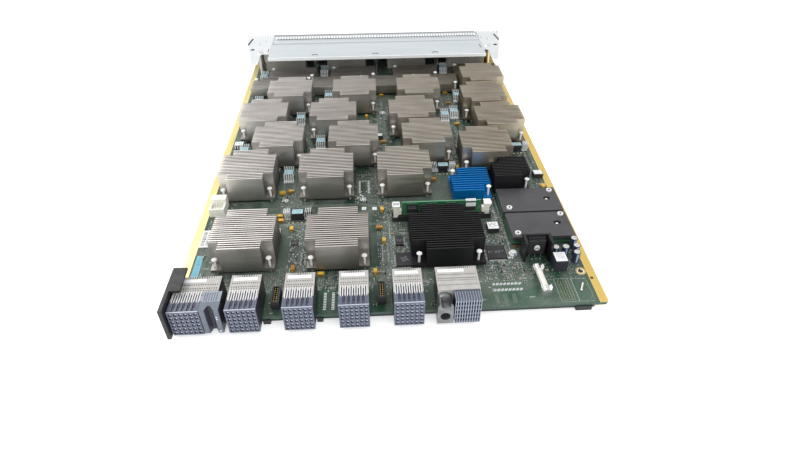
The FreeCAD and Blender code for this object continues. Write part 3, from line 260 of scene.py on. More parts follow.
# ------------------------------------------------------------- mesh building
class Build:
    """Collects many small solids into one mesh, in card millimetres."""

    def __init__(self):
        self.v, self.f, self.m, self.sm = [], [], [], []
        self.mats = []

    def slot(self, mat):
        if mat not in self.mats:
            self.mats.append(mat)
        return self.mats.index(mat)

    def add(self, verts, faces, mat, smooth=False):
        o = len(self.v)
        self.v += [tuple(p) for p in verts]
        s = self.slot(mat)
        for f in faces:
            self.f.append(tuple(i + o for i in f))
            self.m.append(s)
            self.sm.append(smooth)

    def box(self, x0, x1, y0, y1, z0, z1, mat, bev=0.0, rot=0.0, at=None, tilt=None):
        """Block, optionally with chamfered edges; rot turns it about its own centre."""
        c = ((x0 + x1) / 2, (y0 + y1) / 2, (z0 + z1) / 2) if at is None else at
        hx, hy, hz = (x1 - x0) / 2, (y1 - y0) / 2, (z1 - z0) / 2
        o = ((x0 + x1) / 2 - c[0], (y0 + y1) / 2 - c[1], (z0 + z1) / 2 - c[2])
        if bev <= 0:
            P = [(sx * hx, sy * hy, sz * hz) for sz in (-1, 1) for sy in (-1, 1) for sx in (-1, 1)]
            F = [(0, 2, 3, 1), (4, 5, 7, 6), (0, 1, 5, 4), (2, 6, 7, 3), (0, 4, 6, 2), (1, 3, 7, 5)]
        else:
            b = min(bev, hx * 0.9, hy * 0.9, hz * 0.9)
            P, idx = [], {}
            for sx in (-1, 1):
                for sy in (-1, 1):
                    for sz in (-1, 1):
                        for k in range(3):
                            d = [hx, hy, hz]
                            for j in range(3):
                                if j != k:
                                    d[j] -= b
                            idx[(sx, sy, sz, k)] = len(P)
                            P.append((sx * d[0], sy * d[1], sz * d[2]))
            F = []
            for k in range(3):
                a, e = [j for j in range(3) if j != k]
                for s in (-1, 1):
                    q = []
                    for sa, se in ((-1, -1), (1, -1), (1, 1), (-1, 1)):
                        t = [0, 0, 0]
                        t[k], t[a], t[e] = s, sa, se
                        q.append(idx[(*t, k)])
                    flip = (s < 0) ^ (k == 1)
                    F.append(tuple(q[::-1]) if flip else tuple(q))
            for k in range(3):
                a, e = [j for j in range(3) if j != k]
                for sa in (-1, 1):
                    for se in (-1, 1):
                        t0, t1 = [0, 0, 0], [0, 0, 0]
                        t0[k], t1[k] = -1, 1
                        t0[a] = t1[a] = sa
                        t0[e] = t1[e] = se
                        F.append((idx[(*t0, a)], idx[(*t1, a)], idx[(*t1, e)], idx[(*t0, e)]))
            for sx in (-1, 1):
                for sy in (-1, 1):
                    for sz in (-1, 1):
                        F.append((idx[(sx, sy, sz, 0)], idx[(sx, sy, sz, 1)], idx[(sx, sy, sz, 2)]))
            # wind every face outwards
            G = []
            for f in F:
                p = [Vector(P[i]) for i in f]
                n = (p[1] - p[0]).cross(p[2] - p[0])
                mid = sum(p, Vector()) / len(p)
                G.append(f if n.dot(mid) > 0 else f[::-1])
            F = G
        ca, sa_ = math.cos(math.radians(rot)), math.sin(math.radians(rot))
        out = []
        for x, y, z in P:
            x, y, z = x + o[0], y + o[1], z + o[2]
            if tilt is not None:
                v = tilt @ Vector((x, y, z))
                x, y, z = v
            out.append((c[0] + x * ca - y * sa_, c[1] + x * sa_ + y * ca, c[2] + z))
        self.add(out, F, mat)

    def tube(self, p0, p1, r0, r1, mat, n=12, caps=True, smooth=True):
        """A straight round rod or cone between two points."""
        p0, p1 = Vector(p0), Vector(p1)
        d = (p1 - p0).normalized()
        u = d.orthogonal().normalized()
        w = d.cross(u)
        V = []
        for p, r in ((p0, r0), (p1, r1)):
            for i in range(n):
                a = 2 * math.pi * i / n
                V.append(p + u * (r * math.cos(a)) + w * (r * math.sin(a)))
        F = [(i, (i + 1) % n, n + (i + 1) % n, n + i) for i in range(n)]
        self.add(V, F, mat, smooth)
        if caps:
            self.add(V[:n], [tuple(range(n))[::-1]], mat)
            self.add(V[n:], [tuple(range(n))], mat)

    def lathe(self, centre, profile, mat, n=20, mats=None):
        """Turned solid about a vertical axis: profile of (radius, z) from the bottom up."""
        cx, cy, cz = centre
        for i in range(len(profile) - 1):
            (ra, za), (rb, zb) = profile[i], profile[i + 1]
            V, F = [], []
            for r, z in ((ra, za), (rb, zb)):
                for k in range(n):
                    a = 2 * math.pi * k / n
                    V.append((cx + r * math.cos(a), cy + r * math.sin(a), cz + z))
            F = [(k, (k + 1) % n, n + (k + 1) % n, n + k) for k in range(n)]
            self.add(V, F, mats[i] if mats else mat, False)

    def prism(self, pts, z0, z1, mat):
        n = len(pts)
        area = sum(pts[i][0] * pts[(i + 1) % n][1] - pts[(i + 1) % n][0] * pts[i][1] for i in range(n))
        if area < 0:
            pts = pts[::-1]
        V = [(x, y, z0) for x, y in pts] + [(x, y, z1) for x, y in pts]
        F = [tuple(range(n))[::-1], tuple(range(n, 2 * n))]
        F += [(i, (i + 1) % n, n + (i + 1) % n, n + i) for i in range(n)]
        self.add(V, F, mat)

    def make(self, name, body="card", slot=None):
        me = bpy.data.meshes.new(name)
        me.from_pydata([W(*p) for p in self.v], [], self.f)
        for m in self.mats:
            me.materials.append(m)
        me.polygons.foreach_set("material_index", self.m)
        me.polygons.foreach_set("use_smooth", self.sm)
        me.update()
        o = bpy.data.objects.new(name, me)
        bpy.context.scene.collection.objects.link(o)
        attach(o, body)
        return o

# ------------------------------------------------------ materials of the parts
def board_material():
    """Solder mask with etched track bundles, plated holes and bare gold edge strips."""
    m = Mat("solder_mask")
    m.set(spec=0.5)
    x, y, z = m.xyz()[0], m.xyz()[1], m.xyz()[2]
    patch = m.ramp(m.noise(14, 3, stretch=(1, 0.45, 1)), [(0.38, 0.0), (0.62, 1.0)])
    base = m.mix(patch, (0.005, 0.034, 0.017), (0.012, 0.042, 0.027))
    fine = m.ramp(m.noise(260, 4), [(0.35, 0.0), (0.65, 1.0)])
    base = m.mix(m.math("MULTIPLY", fine, 0.6), base, (0.026, 0.056, 0.040))
    near = m.ramp(m.math("MULTIPLY", m.math("ADD", y, 0.2665), 20.0), [(0.30, 1.0), (0.85, 0.0)])
    base = m.mix(m.math("MULTIPLY", near, 0.65), base, (0.006, 0.078, 0.030))
    # long runs between the connectors and the chips
    lines = m.ramp(m.wave(520, "X", 0.0), [(0.62, 0.0), (0.80, 1.0)])
    where = m.ramp(m.noise(42, 2, stretch=(1.0, 0.16, 1)), [(0.42, 0.0), (0.52, 1.0)])
    base = m.mix(m.math("MULTIPLY", lines, where), base, (0.16, 0.20, 0.165))
    cross = m.ramp(m.wave(430, "Y", 0.0), [(0.66, 0.0), (0.84, 1.0)])
    where2 = m.ramp(m.noise(38, 2, stretch=(0.2, 1.0, 1), shift=(4, 2, 0)), [(0.55, 0.0), (0.62, 1.0)])
    base = m.mix(m.math("MULTIPLY", cross, where2), base, (0.14, 0.18, 0.145))
    # serpentine length-matched pairs
    serp = m.ramp(m.wave(240, "X", 6.0, 1.0, dscale=8), [(0.74, 0.0), (0.88, 1.0)])
    where3 = m.ramp(m.noise(30, 2, shift=(9, 3, 0)), [(0.58, 0.0), (0.64, 1.0)])
    base = m.mix(m.math("MULTIPLY", serp, where3), base, (0.13, 0.175, 0.15))
    # plated through holes
    dot = m.voronoi(420, random_=0.75)
    ring = m.ramp(dot, [(0.16, 1.0), (0.20, 0.0)])
    some = m.ramp(m.noise(85, 2, shift=(2, 7, 0)), [(0.50, 0.0), (0.58, 1.0)])
    vias = m.math("MULTIPLY", ring, some)
    base = m.mix(vias, base, (0.42, 0.40, 0.30))
    # glass weave showing faintly through the laminate on the cut edges
    n = m.normal()
    side = m.ramp(m.math("ABSOLUTE", n[2]), [(0.4, 1.0), (0.6, 0.0)])
    weave = m.ramp(m.wave(900, "Z", 2.0), [(0.3, 0.0), (0.7, 1.0)])
    edge_col = m.mix(weave, (0.026, 0.066, 0.048), (0.050, 0.100, 0.070))
    base = m.mix(side, base, edge_col)
    # gold strips: worn streaks, and painted light that makes the left strip paler and brighter than the right
    ax = m.math("ABSOLUTE", x)
    gold = m.ramp(m.math("SUBTRACT", ax, 0.1755), [(0.0, 0.0), (0.0004, 1.0)])
    gold = m.ramp(m.math("MULTIPLY", m.math("SUBTRACT", ax, 0.17545), 2000.0), [(0.0, 0.0), (0.2, 1.0)])
    flat = m.math("SUBTRACT", 1.0, side, True)
    gold = m.math("MULTIPLY", gold, flat)
    worn = m.ramp(m.noise(120, 4, stretch=(1, 0.1, 1)), [(0.3, 0.0), (0.7, 1.0)])
    painted_light_lr = m.ramp(m.math("ADD", m.math("MULTIPLY", x, 2.5), 0.5), [(0.2, 0.0), (0.8, 1.0)])
    tone = m.mix(painted_light_lr, m.mix(worn, (0.86, 0.72, 0.29), (0.93, 0.81, 0.38)), m.mix(worn, (0.78, 0.55, 0.15), (0.86, 0.64, 0.22)))
    col = m.mix(gold, base, tone)
    rough = m.mix(gold, m.ramp(fine, [(0.0, 0.34), (1.0, 0.50)]), m.ramp(m.noise(300, 3, stretch=(1, 0.1, 1)), [(0.3, 0.26), (0.7, 0.42)]))
    height = m.mix(m.math("MULTIPLY", lines, where), m.ramp(m.noise(1500, 2), [(0, 0.0), (1, 0.4)]), 1.0)
    met = m.math("MULTIPLY", m.math("MAXIMUM", gold, vias), 0.85)
    return m.out(col, rough, met, m.bump(height, 0.25, 0.00004))


def sink_material(name, left, mid, right, rough, m_=1.0, tone=0.16, shade=0.0):
    """Extruded aluminium: die lines along the fins, a painted light that runs lighter on the left and darker, warmer on
    the right, and, when shade is set, painted shade on the side faces and towards the base plate.
    """
    m = Mat(name)
    m.set(metal=m_, spec=0.5)
    x = m.xyz()[0]
    # painted light: lighter on the left, darker and warmer on the right
    painted_light_x = m.ramp(m.math("ADD", m.math("MULTIPLY", x, 2.7), 0.5), [(0.05, left), (0.45, mid), (0.85, right)])
    line = m.ramp(m.noise(520, 2, stretch=(0.02, 1, 0.25)), [(0.35, 0.0), (0.65, 1.0)])
    wavy = m.ramp(m.noise(150, 3, stretch=(0.16, 1, 0.2), shift=(2, 0, 5)), [(0.36, 0.0), (0.64, 1.0)])
    col = m.mix(m.math("MULTIPLY", line, tone), painted_light_x, (0.30, 0.28, 0.25), "MULTIPLY")
    col = m.mix(m.math("MULTIPLY", wavy, tone * 1.6), col, (0.42, 0.38, 0.35), "MULTIPLY")
    cloud = m.ramp(m.noise(38, 3), [(0.35, 0.0), (0.7, 1.0)])
    col = m.mix(m.math("MULTIPLY", cloud, 0.10), col, (0.55, 0.52, 0.48), "MULTIPLY")
    if shade:
        # painted shade: faces turned along X are darkened
        painted_flank_shade = m.ramp(m.math("ABSOLUTE", m.normal()[0]), [(0.5, 0.0), (0.8, 1.0)])
        col = m.mix(m.math("MULTIPLY", painted_flank_shade, 0.8), col, (0.30, 0.30, 0.29), "MULTIPLY")
        # painted shade gathers towards the base plate, between the fins
        painted_base_shade = m.ramp(m.math("MULTIPLY", m.xyz()[2], 20.0), [(0.22, 1.0), (0.44, 0.42), (0.60, 0.0)])
        col = m.mix(m.math("MULTIPLY", painted_base_shade, shade), col, (0.20, 0.19, 0.17), "MULTIPLY")
    r = m.ramp(m.noise(300, 3, stretch=(0.1, 1, 1)), [(0.3, rough[0]), (0.7, rough[1])])
    return m.out(col, r, None, m.bump(m.noise(700, 4, stretch=(0.03, 1, 1)), 0.10, 0.00005))


def faced_plastic(name, c1, c2, side, rough=(0.34, 0.5), scale=260):
    """Moulded polymer with darker side walls: faces turned along X take the side colour."""
    m = Mat(name)
    m.set(spec=0.5)
    a = m.ramp(m.noise(scale, 4), [(0.3, 0.0), (0.7, 1.0)])
    col = m.mix(a, c1, c2)
    wall = m.ramp(m.math("ABSOLUTE", m.normal()[0]), [(0.5, 0.0), (0.8, 1.0)])
    col = m.mix(wall, col, side)
    r = m.ramp(m.noise(scale * 0.6, 3, shift=(3, 1, 2)), [(0.3, rough[0]), (0.7, rough[1])])
    return m.out(col, r, None, m.bump(m.noise(1200, 3), 0.12, 0.00008))


def sheet(name, c1, c2, edge, rough=(0.30, 0.48)):
    """Zinc-plated sheet: satin top; faces turned along Y take the flat edge colour as painted light (a painted
    highlight on the shelf and brackets, darker on the faceplate) and are less metallic.
    """
    m = Mat(name)
    m.set(spec=0.5)
    a = m.ramp(m.noise(30, 4, stretch=(0.25, 1, 1)), [(0.3, 0.0), (0.7, 1.0)])
    # painted light: mask of the faces turned along Y, which get the edge colour
    up = m.ramp(m.math("ABSOLUTE", m.normal()[1]), [(0.5, 0.0), (0.8, 1.0)])
    col = m.mix(up, m.mix(a, c1, c2), edge)
    met = m.math("SUBTRACT", 1.0, m.math("MULTIPLY", up, 0.9), True)
    r = m.ramp(m.noise(260, 3, stretch=(0.25, 1, 1)), [(0.25, rough[0]), (0.75, rough[1])])
    return m.out(col, r, met, m.bump(m.noise(260, 3, stretch=(0.25, 1, 1)), 0.05, 0.00005))


BOARD = board_material()
SINK = sink_material("sink_aluminium_m", (1.0, 0.97, 0.95), (0.80, 0.755, 0.71), (0.70, 0.64, 0.53), (0.38, 0.52), shade=0.75)
BLACK_AN = sink_material("black_anodised_m", (0.013, 0.013, 0.016), (0.014, 0.014, 0.017), (0.013, 0.013, 0.015), (0.34, 0.5), 0.25)
BLUE_AN = sink_material("blue_anodised_m", (0.0004, 0.235, 0.64), (0.0004, 0.225, 0.62), (0.0004, 0.215, 0.60), (0.38, 0.52), 0.55, 0.06)
CHIP = plastic("chip_epoxy", (0.016, 0.016, 0.018), (0.030, 0.030, 0.033), (0.45, 0.62), 300, 1400, 0.25)
CONN = faced_plastic("connector_polymer", (0.080, 0.096, 0.140), (0.112, 0.130, 0.180), (0.018, 0.021, 0.034))
CONN_L = faced_plastic("connector_polymer_light", (0.105, 0.130, 0.165), (0.145, 0.172, 0.205), (0.045, 0.045, 0.065), (0.3, 0.45))
WAFER = faced_plastic("wafer_polymer", (0.40, 0.385, 0.365), (0.50, 0.485, 0.465), (0.03, 0.03, 0.034), (0.42, 0.58), 220)
WHITE_PL = plastic("white_nylon_m", (0.80, 0.80, 0.78), (0.90, 0.90, 0.89), (0.3, 0.45), 500, 2000, 0.08)
CREAM = plastic("cream_nylon", (0.80, 0.79, 0.68), (0.90, 0.89, 0.80), (0.35, 0.5), 300, 1500, 0.1)
BLACK_PL = plastic("black_moulding", (0.012, 0.012, 0.013), (0.025, 0.025, 0.027), (0.35, 0.5), 240, 1200, 0.15)
BLACK_ST = plastic("black_powder_coat", (0.008, 0.008, 0.010), (0.018, 0.018, 0.021), (0.38, 0.55), 400, 1800, 0.35)
BASEPL = plastic("dark_grey_plate", (0.046, 0.045, 0.050), (0.062, 0.060, 0.065), (0.32, 0.46), 60, 1500, 0.12)
RELAY_M = plastic("relay_case", (0.022, 0.025, 0.034), (0.036, 0.040, 0.050), (0.25, 0.4), 200, 900, 0.1)
# the last colour of each sheet is painted on faces turned along Y: a painted highlight on the shelf and brackets,
# darker on the faceplate
ZINC = sheet("zinc_sheet", (0.66, 0.72, 0.755), (0.76, 0.81, 0.84), (0.93, 0.95, 0.96))
CAGE_M = metal("cage_sheet", (0.66, 0.63, 0.56), (0.78, 0.75, 0.68), (0.26, 0.42), 30, (1, 1, 0.3), 300, 0.06, m_=0.45)
BRIGHT = metal("nickel_plate", (0.72, 0.72, 0.71), (0.84, 0.84, 0.83), (0.12, 0.26), 200, (1, 1, 1), 600, 0.05)
TIN = metal("tinned_leads", (0.66, 0.67, 0.68), (0.82, 0.83, 0.84), (0.22, 0.42), 700, (1, 1, 1), 2400, 0.15)
DARKPOST = metal("dark_post_m", (0.30, 0.28, 0.25), (0.42, 0.40, 0.36), (0.24, 0.40), 200, (1, 1, 0.1), 600, 0.05)
BRASS = metal("yellow_post_m", (0.62, 0.48, 0.20), (0.78, 0.62, 0.30), (0.22, 0.38), 200, (1, 1, 0.1), 600, 0.05)
GOLD = metal("gold_plate", (0.80, 0.58, 0.22), (0.90, 0.70, 0.34), (0.2, 0.34), 400, (1, 1, 1), 1500, 0.05)
LEVER_M = plastic("lever_casting", (0.40, 0.42, 0.45), (0.50, 0.52, 0.54), (0.34, 0.5), 150, 1400, 0.2)
DIECAST = metal("guide_die_cast", (0.17, 0.175, 0.18), (0.27, 0.275, 0.285), (0.3, 0.46), 200, (1, 1, 1), 900, 0.15, m_=0.75)
FUSE_M = plastic("fuse_ceramic_m", (0.70, 0.68, 0.60), (0.80, 0.78, 0.71), (0.18, 0.32), 300, 900, 0.06, coat=0.3)
CAN_M = metal("capacitor_can", (0.62, 0.64, 0.68), (0.76, 0.77, 0.80), (0.18, 0.32), 300, (1, 1, 1), 900, 0.04)
SLEEVE = plastic("capacitor_sleeve", (0.020, 0.028, 0.060), (0.035, 0.045, 0.085), (0.2, 0.34), 260, 900, 0.05, coat=0.3)
TANT_M = plastic("tantalum_epoxy", (0.60, 0.34, 0.025), (0.72, 0.44, 0.05), (0.34, 0.5), 400, 1400, 0.15)
TANT_O = plastic("tantalum_orange", (0.42, 0.18, 0.02), (0.52, 0.24, 0.035), (0.34, 0.5), 400, 1400, 0.15)
LABEL = plastic("label_paper", (0.80, 0.81, 0.82), (0.87, 0.88, 0.88), (0.5, 0.65), 500, 2500, 0.06)
CYAN_LB = plastic("cyan_label", (0.16, 0.46, 0.58), (0.22, 0.53, 0.64), (0.45, 0.6), 500, 2500, 0.06)
SILK = plastic("silkscreen_ink", (0.46, 0.50, 0.48), (0.60, 0.63, 0.61), (0.5, 0.65), 900, 3000, 0.1)
INK = plastic("label_ink", (0.03, 0.03, 0.035), (0.06, 0.06, 0.065), (0.5, 0.6), 900, 3000, 0.05)
MEM_PCB = plastic("memory_mask", (0.020, 0.130, 0.050), (0.035, 0.180, 0.075), (0.3, 0.42), 300, 1400, 0.1)
CERAM = plastic("ceramic_tan", (0.28, 0.21, 0.14), (0.38, 0.30, 0.21), (0.45, 0.6), 900, 3000, 0.15)
RES_M = plastic("resistor_black", (0.02, 0.02, 0.022), (0.045, 0.045, 0.05), (0.35, 0.5), 900, 3000, 0.1)
CYAN_PAD = plastic("pale_blue_cap", (0.34, 0.56, 0.62), (0.46, 0.66, 0.71), (0.35, 0.5), 500, 1800, 0.1)
SOCK = plastic("socket_moulding", (0.016, 0.018, 0.017), (0.030, 0.032, 0.031), (0.35, 0.5), 240, 1200, 0.15)
GREENISH = plastic("driver_board_mask", (0.030, 0.115, 0.060), (0.050, 0.150, 0.085), (0.32, 0.45), 240, 1400, 0.1)
TRACK = plastic("mask_over_copper", (0.165, 0.195, 0.165), (0.225, 0.250, 0.215), (0.32, 0.46), 400, 2500, 0.06)
TANT_Y = plastic("tantalum_yellow_top", (0.70, 0.42, 0.035), (0.80, 0.50, 0.06), (0.34, 0.5), 400, 1400, 0.12)
TANT_D = plastic("tantalum_stripe", (0.26, 0.13, 0.015), (0.34, 0.18, 0.03), (0.4, 0.55), 400, 1400, 0.12)
TANT_T = plastic("tan_block", (0.50, 0.33, 0.12), (0.60, 0.42, 0.18), (0.4, 0.55), 400, 1400, 0.12)
CONTACT = metal("contact_spring", (0.56, 0.60, 0.70), (0.72, 0.76, 0.84), (0.18, 0.34), 600, (1, 1, 1), 1800, 0.06, m_=0.55)
# painted shade deep in the connector cavities, slots and holes
CAVITY_SHADE = plastic("painted_cavity_shade", (0.030, 0.034, 0.060), (0.050, 0.055, 0.085), (0.4, 0.55), 300, 1400, 0.12)
LIP = plastic("connector_lip", (0.46, 0.50, 0.60), (0.58, 0.62, 0.70), (0.28, 0.4), 300, 1400, 0.08)
LIP_B = plastic("moulded_rib_light", (0.32, 0.38, 0.46), (0.42, 0.48, 0.55), (0.28, 0.4), 300, 1400, 0.08)
WAFER_W = plastic("wafer_finger", (0.66, 0.655, 0.65), (0.78, 0.775, 0.77), (0.35, 0.5), 300, 1400, 0.08)
# painted shade: dark discs and slots set in holes where only shade shows
HOLE_SHADE = plastic("painted_hole_shade", (0.006, 0.006, 0.007), (0.014, 0.013, 0.013), (0.6, 0.8), 300, 1400, 0.1)
DARK_PLATE = plastic("dark_plate", (0.010, 0.010, 0.013), (0.020, 0.020, 0.024), (0.3, 0.45), 260, 1200, 0.12)
HDR_C = metal("header_beam", (0.30, 0.34, 0.42), (0.42, 0.46, 0.54), (0.25, 0.4), 600, (1, 1, 1), 1800, 0.06, m_=0.5)
CREAM_W = plastic("cream_bright", (0.84, 0.83, 0.76), (0.92, 0.91, 0.86), (0.35, 0.5), 300, 1500, 0.08)
GREYMARK = plastic("laser_mark", (0.20, 0.20, 0.22), (0.28, 0.28, 0.30), (0.5, 0.65), 900, 3000, 0.05)
MEM_EDGE = plastic("memory_edge", (0.10, 0.30, 0.16), (0.16, 0.38, 0.22), (0.4, 0.55), 300, 1400, 0.08)
CYAN_D = plastic("cyan_print", (0.04, 0.24, 0.36), (0.07, 0.30, 0.42), (0.5, 0.6), 500, 2500, 0.05)
CAN_TOP = metal("can_top", (0.62, 0.60, 0.57), (0.76, 0.74, 0.70), (0.22, 0.38), 300, (1, 1, 1), 900, 0.04, m_=0.6)
STRIPE = plastic("sleeve_stripe", (0.22, 0.36, 0.56), (0.32, 0.46, 0.66), (0.25, 0.4), 300, 900, 0.05)
# painted shade, dark brown, inside through holes
HOLE_SHADE_BROWN = plastic("painted_hole_shade_brown", (0.05, 0.022, 0.010), (0.09, 0.04, 0.018), (0.5, 0.7), 300, 900, 0.1)
BLUE_DOT = plastic("blue_insert", (0.02, 0.08, 0.40), (0.04, 0.12, 0.50), (0.25, 0.4), 300, 900, 0.05)
COPPER = metal("copper_link", (0.66, 0.30, 0.14), (0.78, 0.40, 0.20), (0.24, 0.4), 400, (1, 1, 1), 1500, 0.05)
# white metal of the strip fingers and the ring's inner rim, also a painted highlight along the shelf's front edge
WHITE_AND_EDGE_HIGHLIGHT = plastic("white_fingers_and_edge_highlight", (0.90, 0.92, 0.93), (0.96, 0.97, 0.97), (0.3, 0.45), 300, 900, 0.04)
LIP_D = plastic("key_block_top", (0.20, 0.245, 0.30), (0.28, 0.325, 0.38), (0.28, 0.4), 300, 1400, 0.08)
GREYSEAM = plastic("wafer_seam", (0.16, 0.155, 0.15), (0.24, 0.23, 0.22), (0.4, 0.55), 300, 900, 0.06)
SOLD = metal("solder_ends", (0.30, 0.31, 0.31), (0.46, 0.47, 0.46), (0.32, 0.5), 700, (1, 1, 1), 2400, 0.15, m_=0.6)
FIN_W = plastic("stamped_fins", (0.80, 0.82, 0.82), (0.90, 0.91, 0.91), (0.25, 0.4), 500, 2000, 0.06)
SCREW_W = metal("screw_zinc", (0.86, 0.86, 0.85), (0.94, 0.94, 0.93), (0.24, 0.38), 200, (1, 1, 1), 600, 0.05, m_=0.35)
FACE = sheet("zinc_faceplate", (0.70, 0.75, 0.785), (0.80, 0.84, 0.87), (0.40, 0.42, 0.44))
ZINC_W = sheet("zinc_bracket", (0.82, 0.85, 0.87), (0.89, 0.91, 0.925), (0.95, 0.96, 0.97))
# painted shade: grey lines in the gaps and along the bend of the shelf
GAP_SHADE = plastic("painted_gap_shade", (0.30, 0.33, 0.35), (0.40, 0.43, 0.45), (0.4, 0.55), 300, 900, 0.06)

paint("circuit_board", BOARD)
paint(["asic_heatsinks_row_%d" % i for i in range(1, 6)] + ["port_heatsinks"], SINK)
paint(["black_heatsink_large", "black_heatsink_small", "transistor_heatsink"], BLACK_AN)
paint("blue_heatsink", BLUE_AN)
paint(["asic_packages", "port_packages", "controller_packages", "flat_chips", "voltage_regulators", "power_transistor"], CHIP)
paint("relay", RELAY_M)
paint(["backplane_connectors", "mixed_header"], CONN)
paint("keying_block", CONN_L)
paint("guide_socket", DIECAST)
paint("connector_wafers", WAFER)
paint("push_pins", WHITE_PL)
paint(["memory_latch_left", "memory_latch_right"], CREAM)
paint("side_connector", CREAM)
paint(["memory_socket", "box_headers"], SOCK)
paint("memory_module", MEM_PCB)
paint("converter_boards", GREENISH)
paint("converter_baseplates", BASEPL)
paint(["end_guide_wall", "front_stiffener"], BLACK_ST)
paint("board_screws", SCREW_W)
paint(["captive_screw_left", "captive_screw_right", "captive_washer_left", "captive_washer_right",
       "lever_pins", "bracket_screws", "fuse_clips", "cover_standoffs"], BRIGHT)
paint("contact_finger_strip", TIN)
paint("ceramic_fuse", FUSE_M)
paint("electrolytic_capacitors", SLEEVE)
paint("tantalum_capacitors", TANT_M)
paint("cover_plate", ZINC)
paint("faceplate", FACE)
paint(["end_bracket_left", "end_bracket_right"], ZINC_W)
paint(["port_cage_%d" % i for i in range(1, 5)], CAGE_M)
paint("end_post_left", DARKPOST)
paint("end_post_right", BRASS)
paint(["ejector_lever_left", "ejector_lever_right"], LEVER_M)
# --------------------------------------------------------- detail on the board
rnd = random.Random(7)


def keep_out():
    """Footprints of everything that stands on the board, so chips avoid them."""
    out = []
    for n in NODES:
        if n in ("circuit_board", "faceplate", "cover_plate", "end_bracket_left", "end_bracket_right",
                 "contact_finger_strip", "front_stiffener", "end_guide_wall", "port_heatsinks", "push_pins") \
                or n.startswith("asic_heatsinks") or n.startswith("ejector") or n.startswith("captive"):
            continue
        for b in islands(n):
            if b[4] < 3.0 and b[5] > 0.0:
                out.append(b[:4])
    return out


BLOCKED = keep_out()
SINKS = []
for i in range(1, 6):
    SINKS += [b for b in islands("asic_heatsinks_row_%d" % i)]
SINKS += islands("port_heatsinks")


def free(x0, x1, y0, y1, gap=0.25, sinks=False):
    for b in BLOCKED:
        if x0 < b[1] + gap and b[0] < x1 + gap and y0 < b[3] + gap and b[2] < y1 + gap:
            return False
    if sinks:
        for b in SINKS:
            if x0 < b[1] - 1.5 and b[0] + 1.5 < x1 and y0 < b[3] - 1.5 and b[2] + 1.5 < y1:
                return False
    return abs(x0) < 174.5 and abs(x1) < 174.5 and y0 > 1.0 and y1 < 524.0


# small chip components: body with two bright end caps
smd = Build()
marks = Build()
vias = Build()


def chip_r(x, y, long_, wide, high, turn, body, ends=None):
    ends = ends or SOLD
    hx, hy = (long_ / 2, wide / 2) if not turn else (wide / 2, long_ / 2)
    cap = long_ * 0.22
    if not turn:
        smd.box(x - hx + cap, x + hx - cap, y - hy, y + hy, 0.02, high, body, 0.06)
        for s in (-1, 1):
            a, b = sorted((x + s * hx, x + s * (hx - cap)))
            smd.box(a, b, y - hy, y + hy, 0.02, high * 1.04, ends, 0.05)
    else:
        smd.box(x - hx, x + hx, y - hy + cap, y + hy - cap, 0.02, high, body, 0.06)
        for s in (-1, 1):
            a, b = sorted((y + s * hy, y + s * (hy - cap)))
            smd.box(x - hx, x + hx, a, b, 0.02, high * 1.04, ends, 0.05)


def scatter(x0, x1, y0, y1, count, kinds=None, sinks=True):
    done = tries = 0
    while done < count and tries < count * 9:
        tries += 1
        x, y = rnd.uniform(x0, x1), rnd.uniform(y0, y1)
        x, y = round(x / 1.27) * 1.27, round(y / 1.27) * 1.27
        turn = rnd.random() < 0.5
        kind = rnd.choice(kinds or ("r", "c", "c", "r", "big", "dot", "mark"))
        l, w, h = {"r": (1.7, 0.9, 0.5), "c": (1.7, 0.95, 0.85), "big": (3.0, 1.7, 1.1), "dot": (0.9, 0.9, 0.05),
                   "mark": (2.2, 0.8, 0.05)}[kind]
        hx, hy = (l / 2, w / 2) if not turn else (w / 2, l / 2)
        if not free(x - hx, x + hx, y - hy, y + hy, 0.3, sinks):
            continue
        BLOCKED.append((x - hx, x + hx, y - hy, y + hy))
        done += 1
        if kind == "dot":
            vias.lathe((x, y, 0), [(0.0, 0.11), (0.55, 0.11), (0.62, 0.02)][::-1], TIN, 8)
        elif kind == "mark":
            marks.box(x - hx, x + hx, y - hy, y + hy, 0.01, 0.07, SILK)
        else:
            chip_r(x, y, l, w, h, turn, RES_M if kind == "r" else CERAM if kind == "c" or rnd.random() < 0.6 else RES_M)


# ---------------------------------------------------- silkscreen and printed marks
def frame_mark(x0, x1, y0, y1, t=0.16):
    marks.box(x0, x1, y0, y0 + t, 0.01, 0.06, SILK)
    marks.box(x0, x1, y1 - t, y1, 0.01, 0.06, SILK)
    marks.box(x0, x0 + t, y0, y1, 0.01, 0.06, SILK)
    marks.box(x1 - t, x1, y0, y1, 0.01, 0.06, SILK)


def ticks(x, y, n, pitch=1.0, size=0.75, along="x"):
    """A short row of uneven printed ticks, standing for unreadable print."""
    for i in range(n):
        w = size * rnd.uniform(0.45, 0.95)
        if along == "x":
            marks.box(x + i * pitch, x + i * pitch + w, y, y + 1.15, 0.01, 0.06, SILK)
        else:
            marks.box(x, x + 1.15, y + i * pitch, y + i * pitch + w, 0.01, 0.06, SILK)


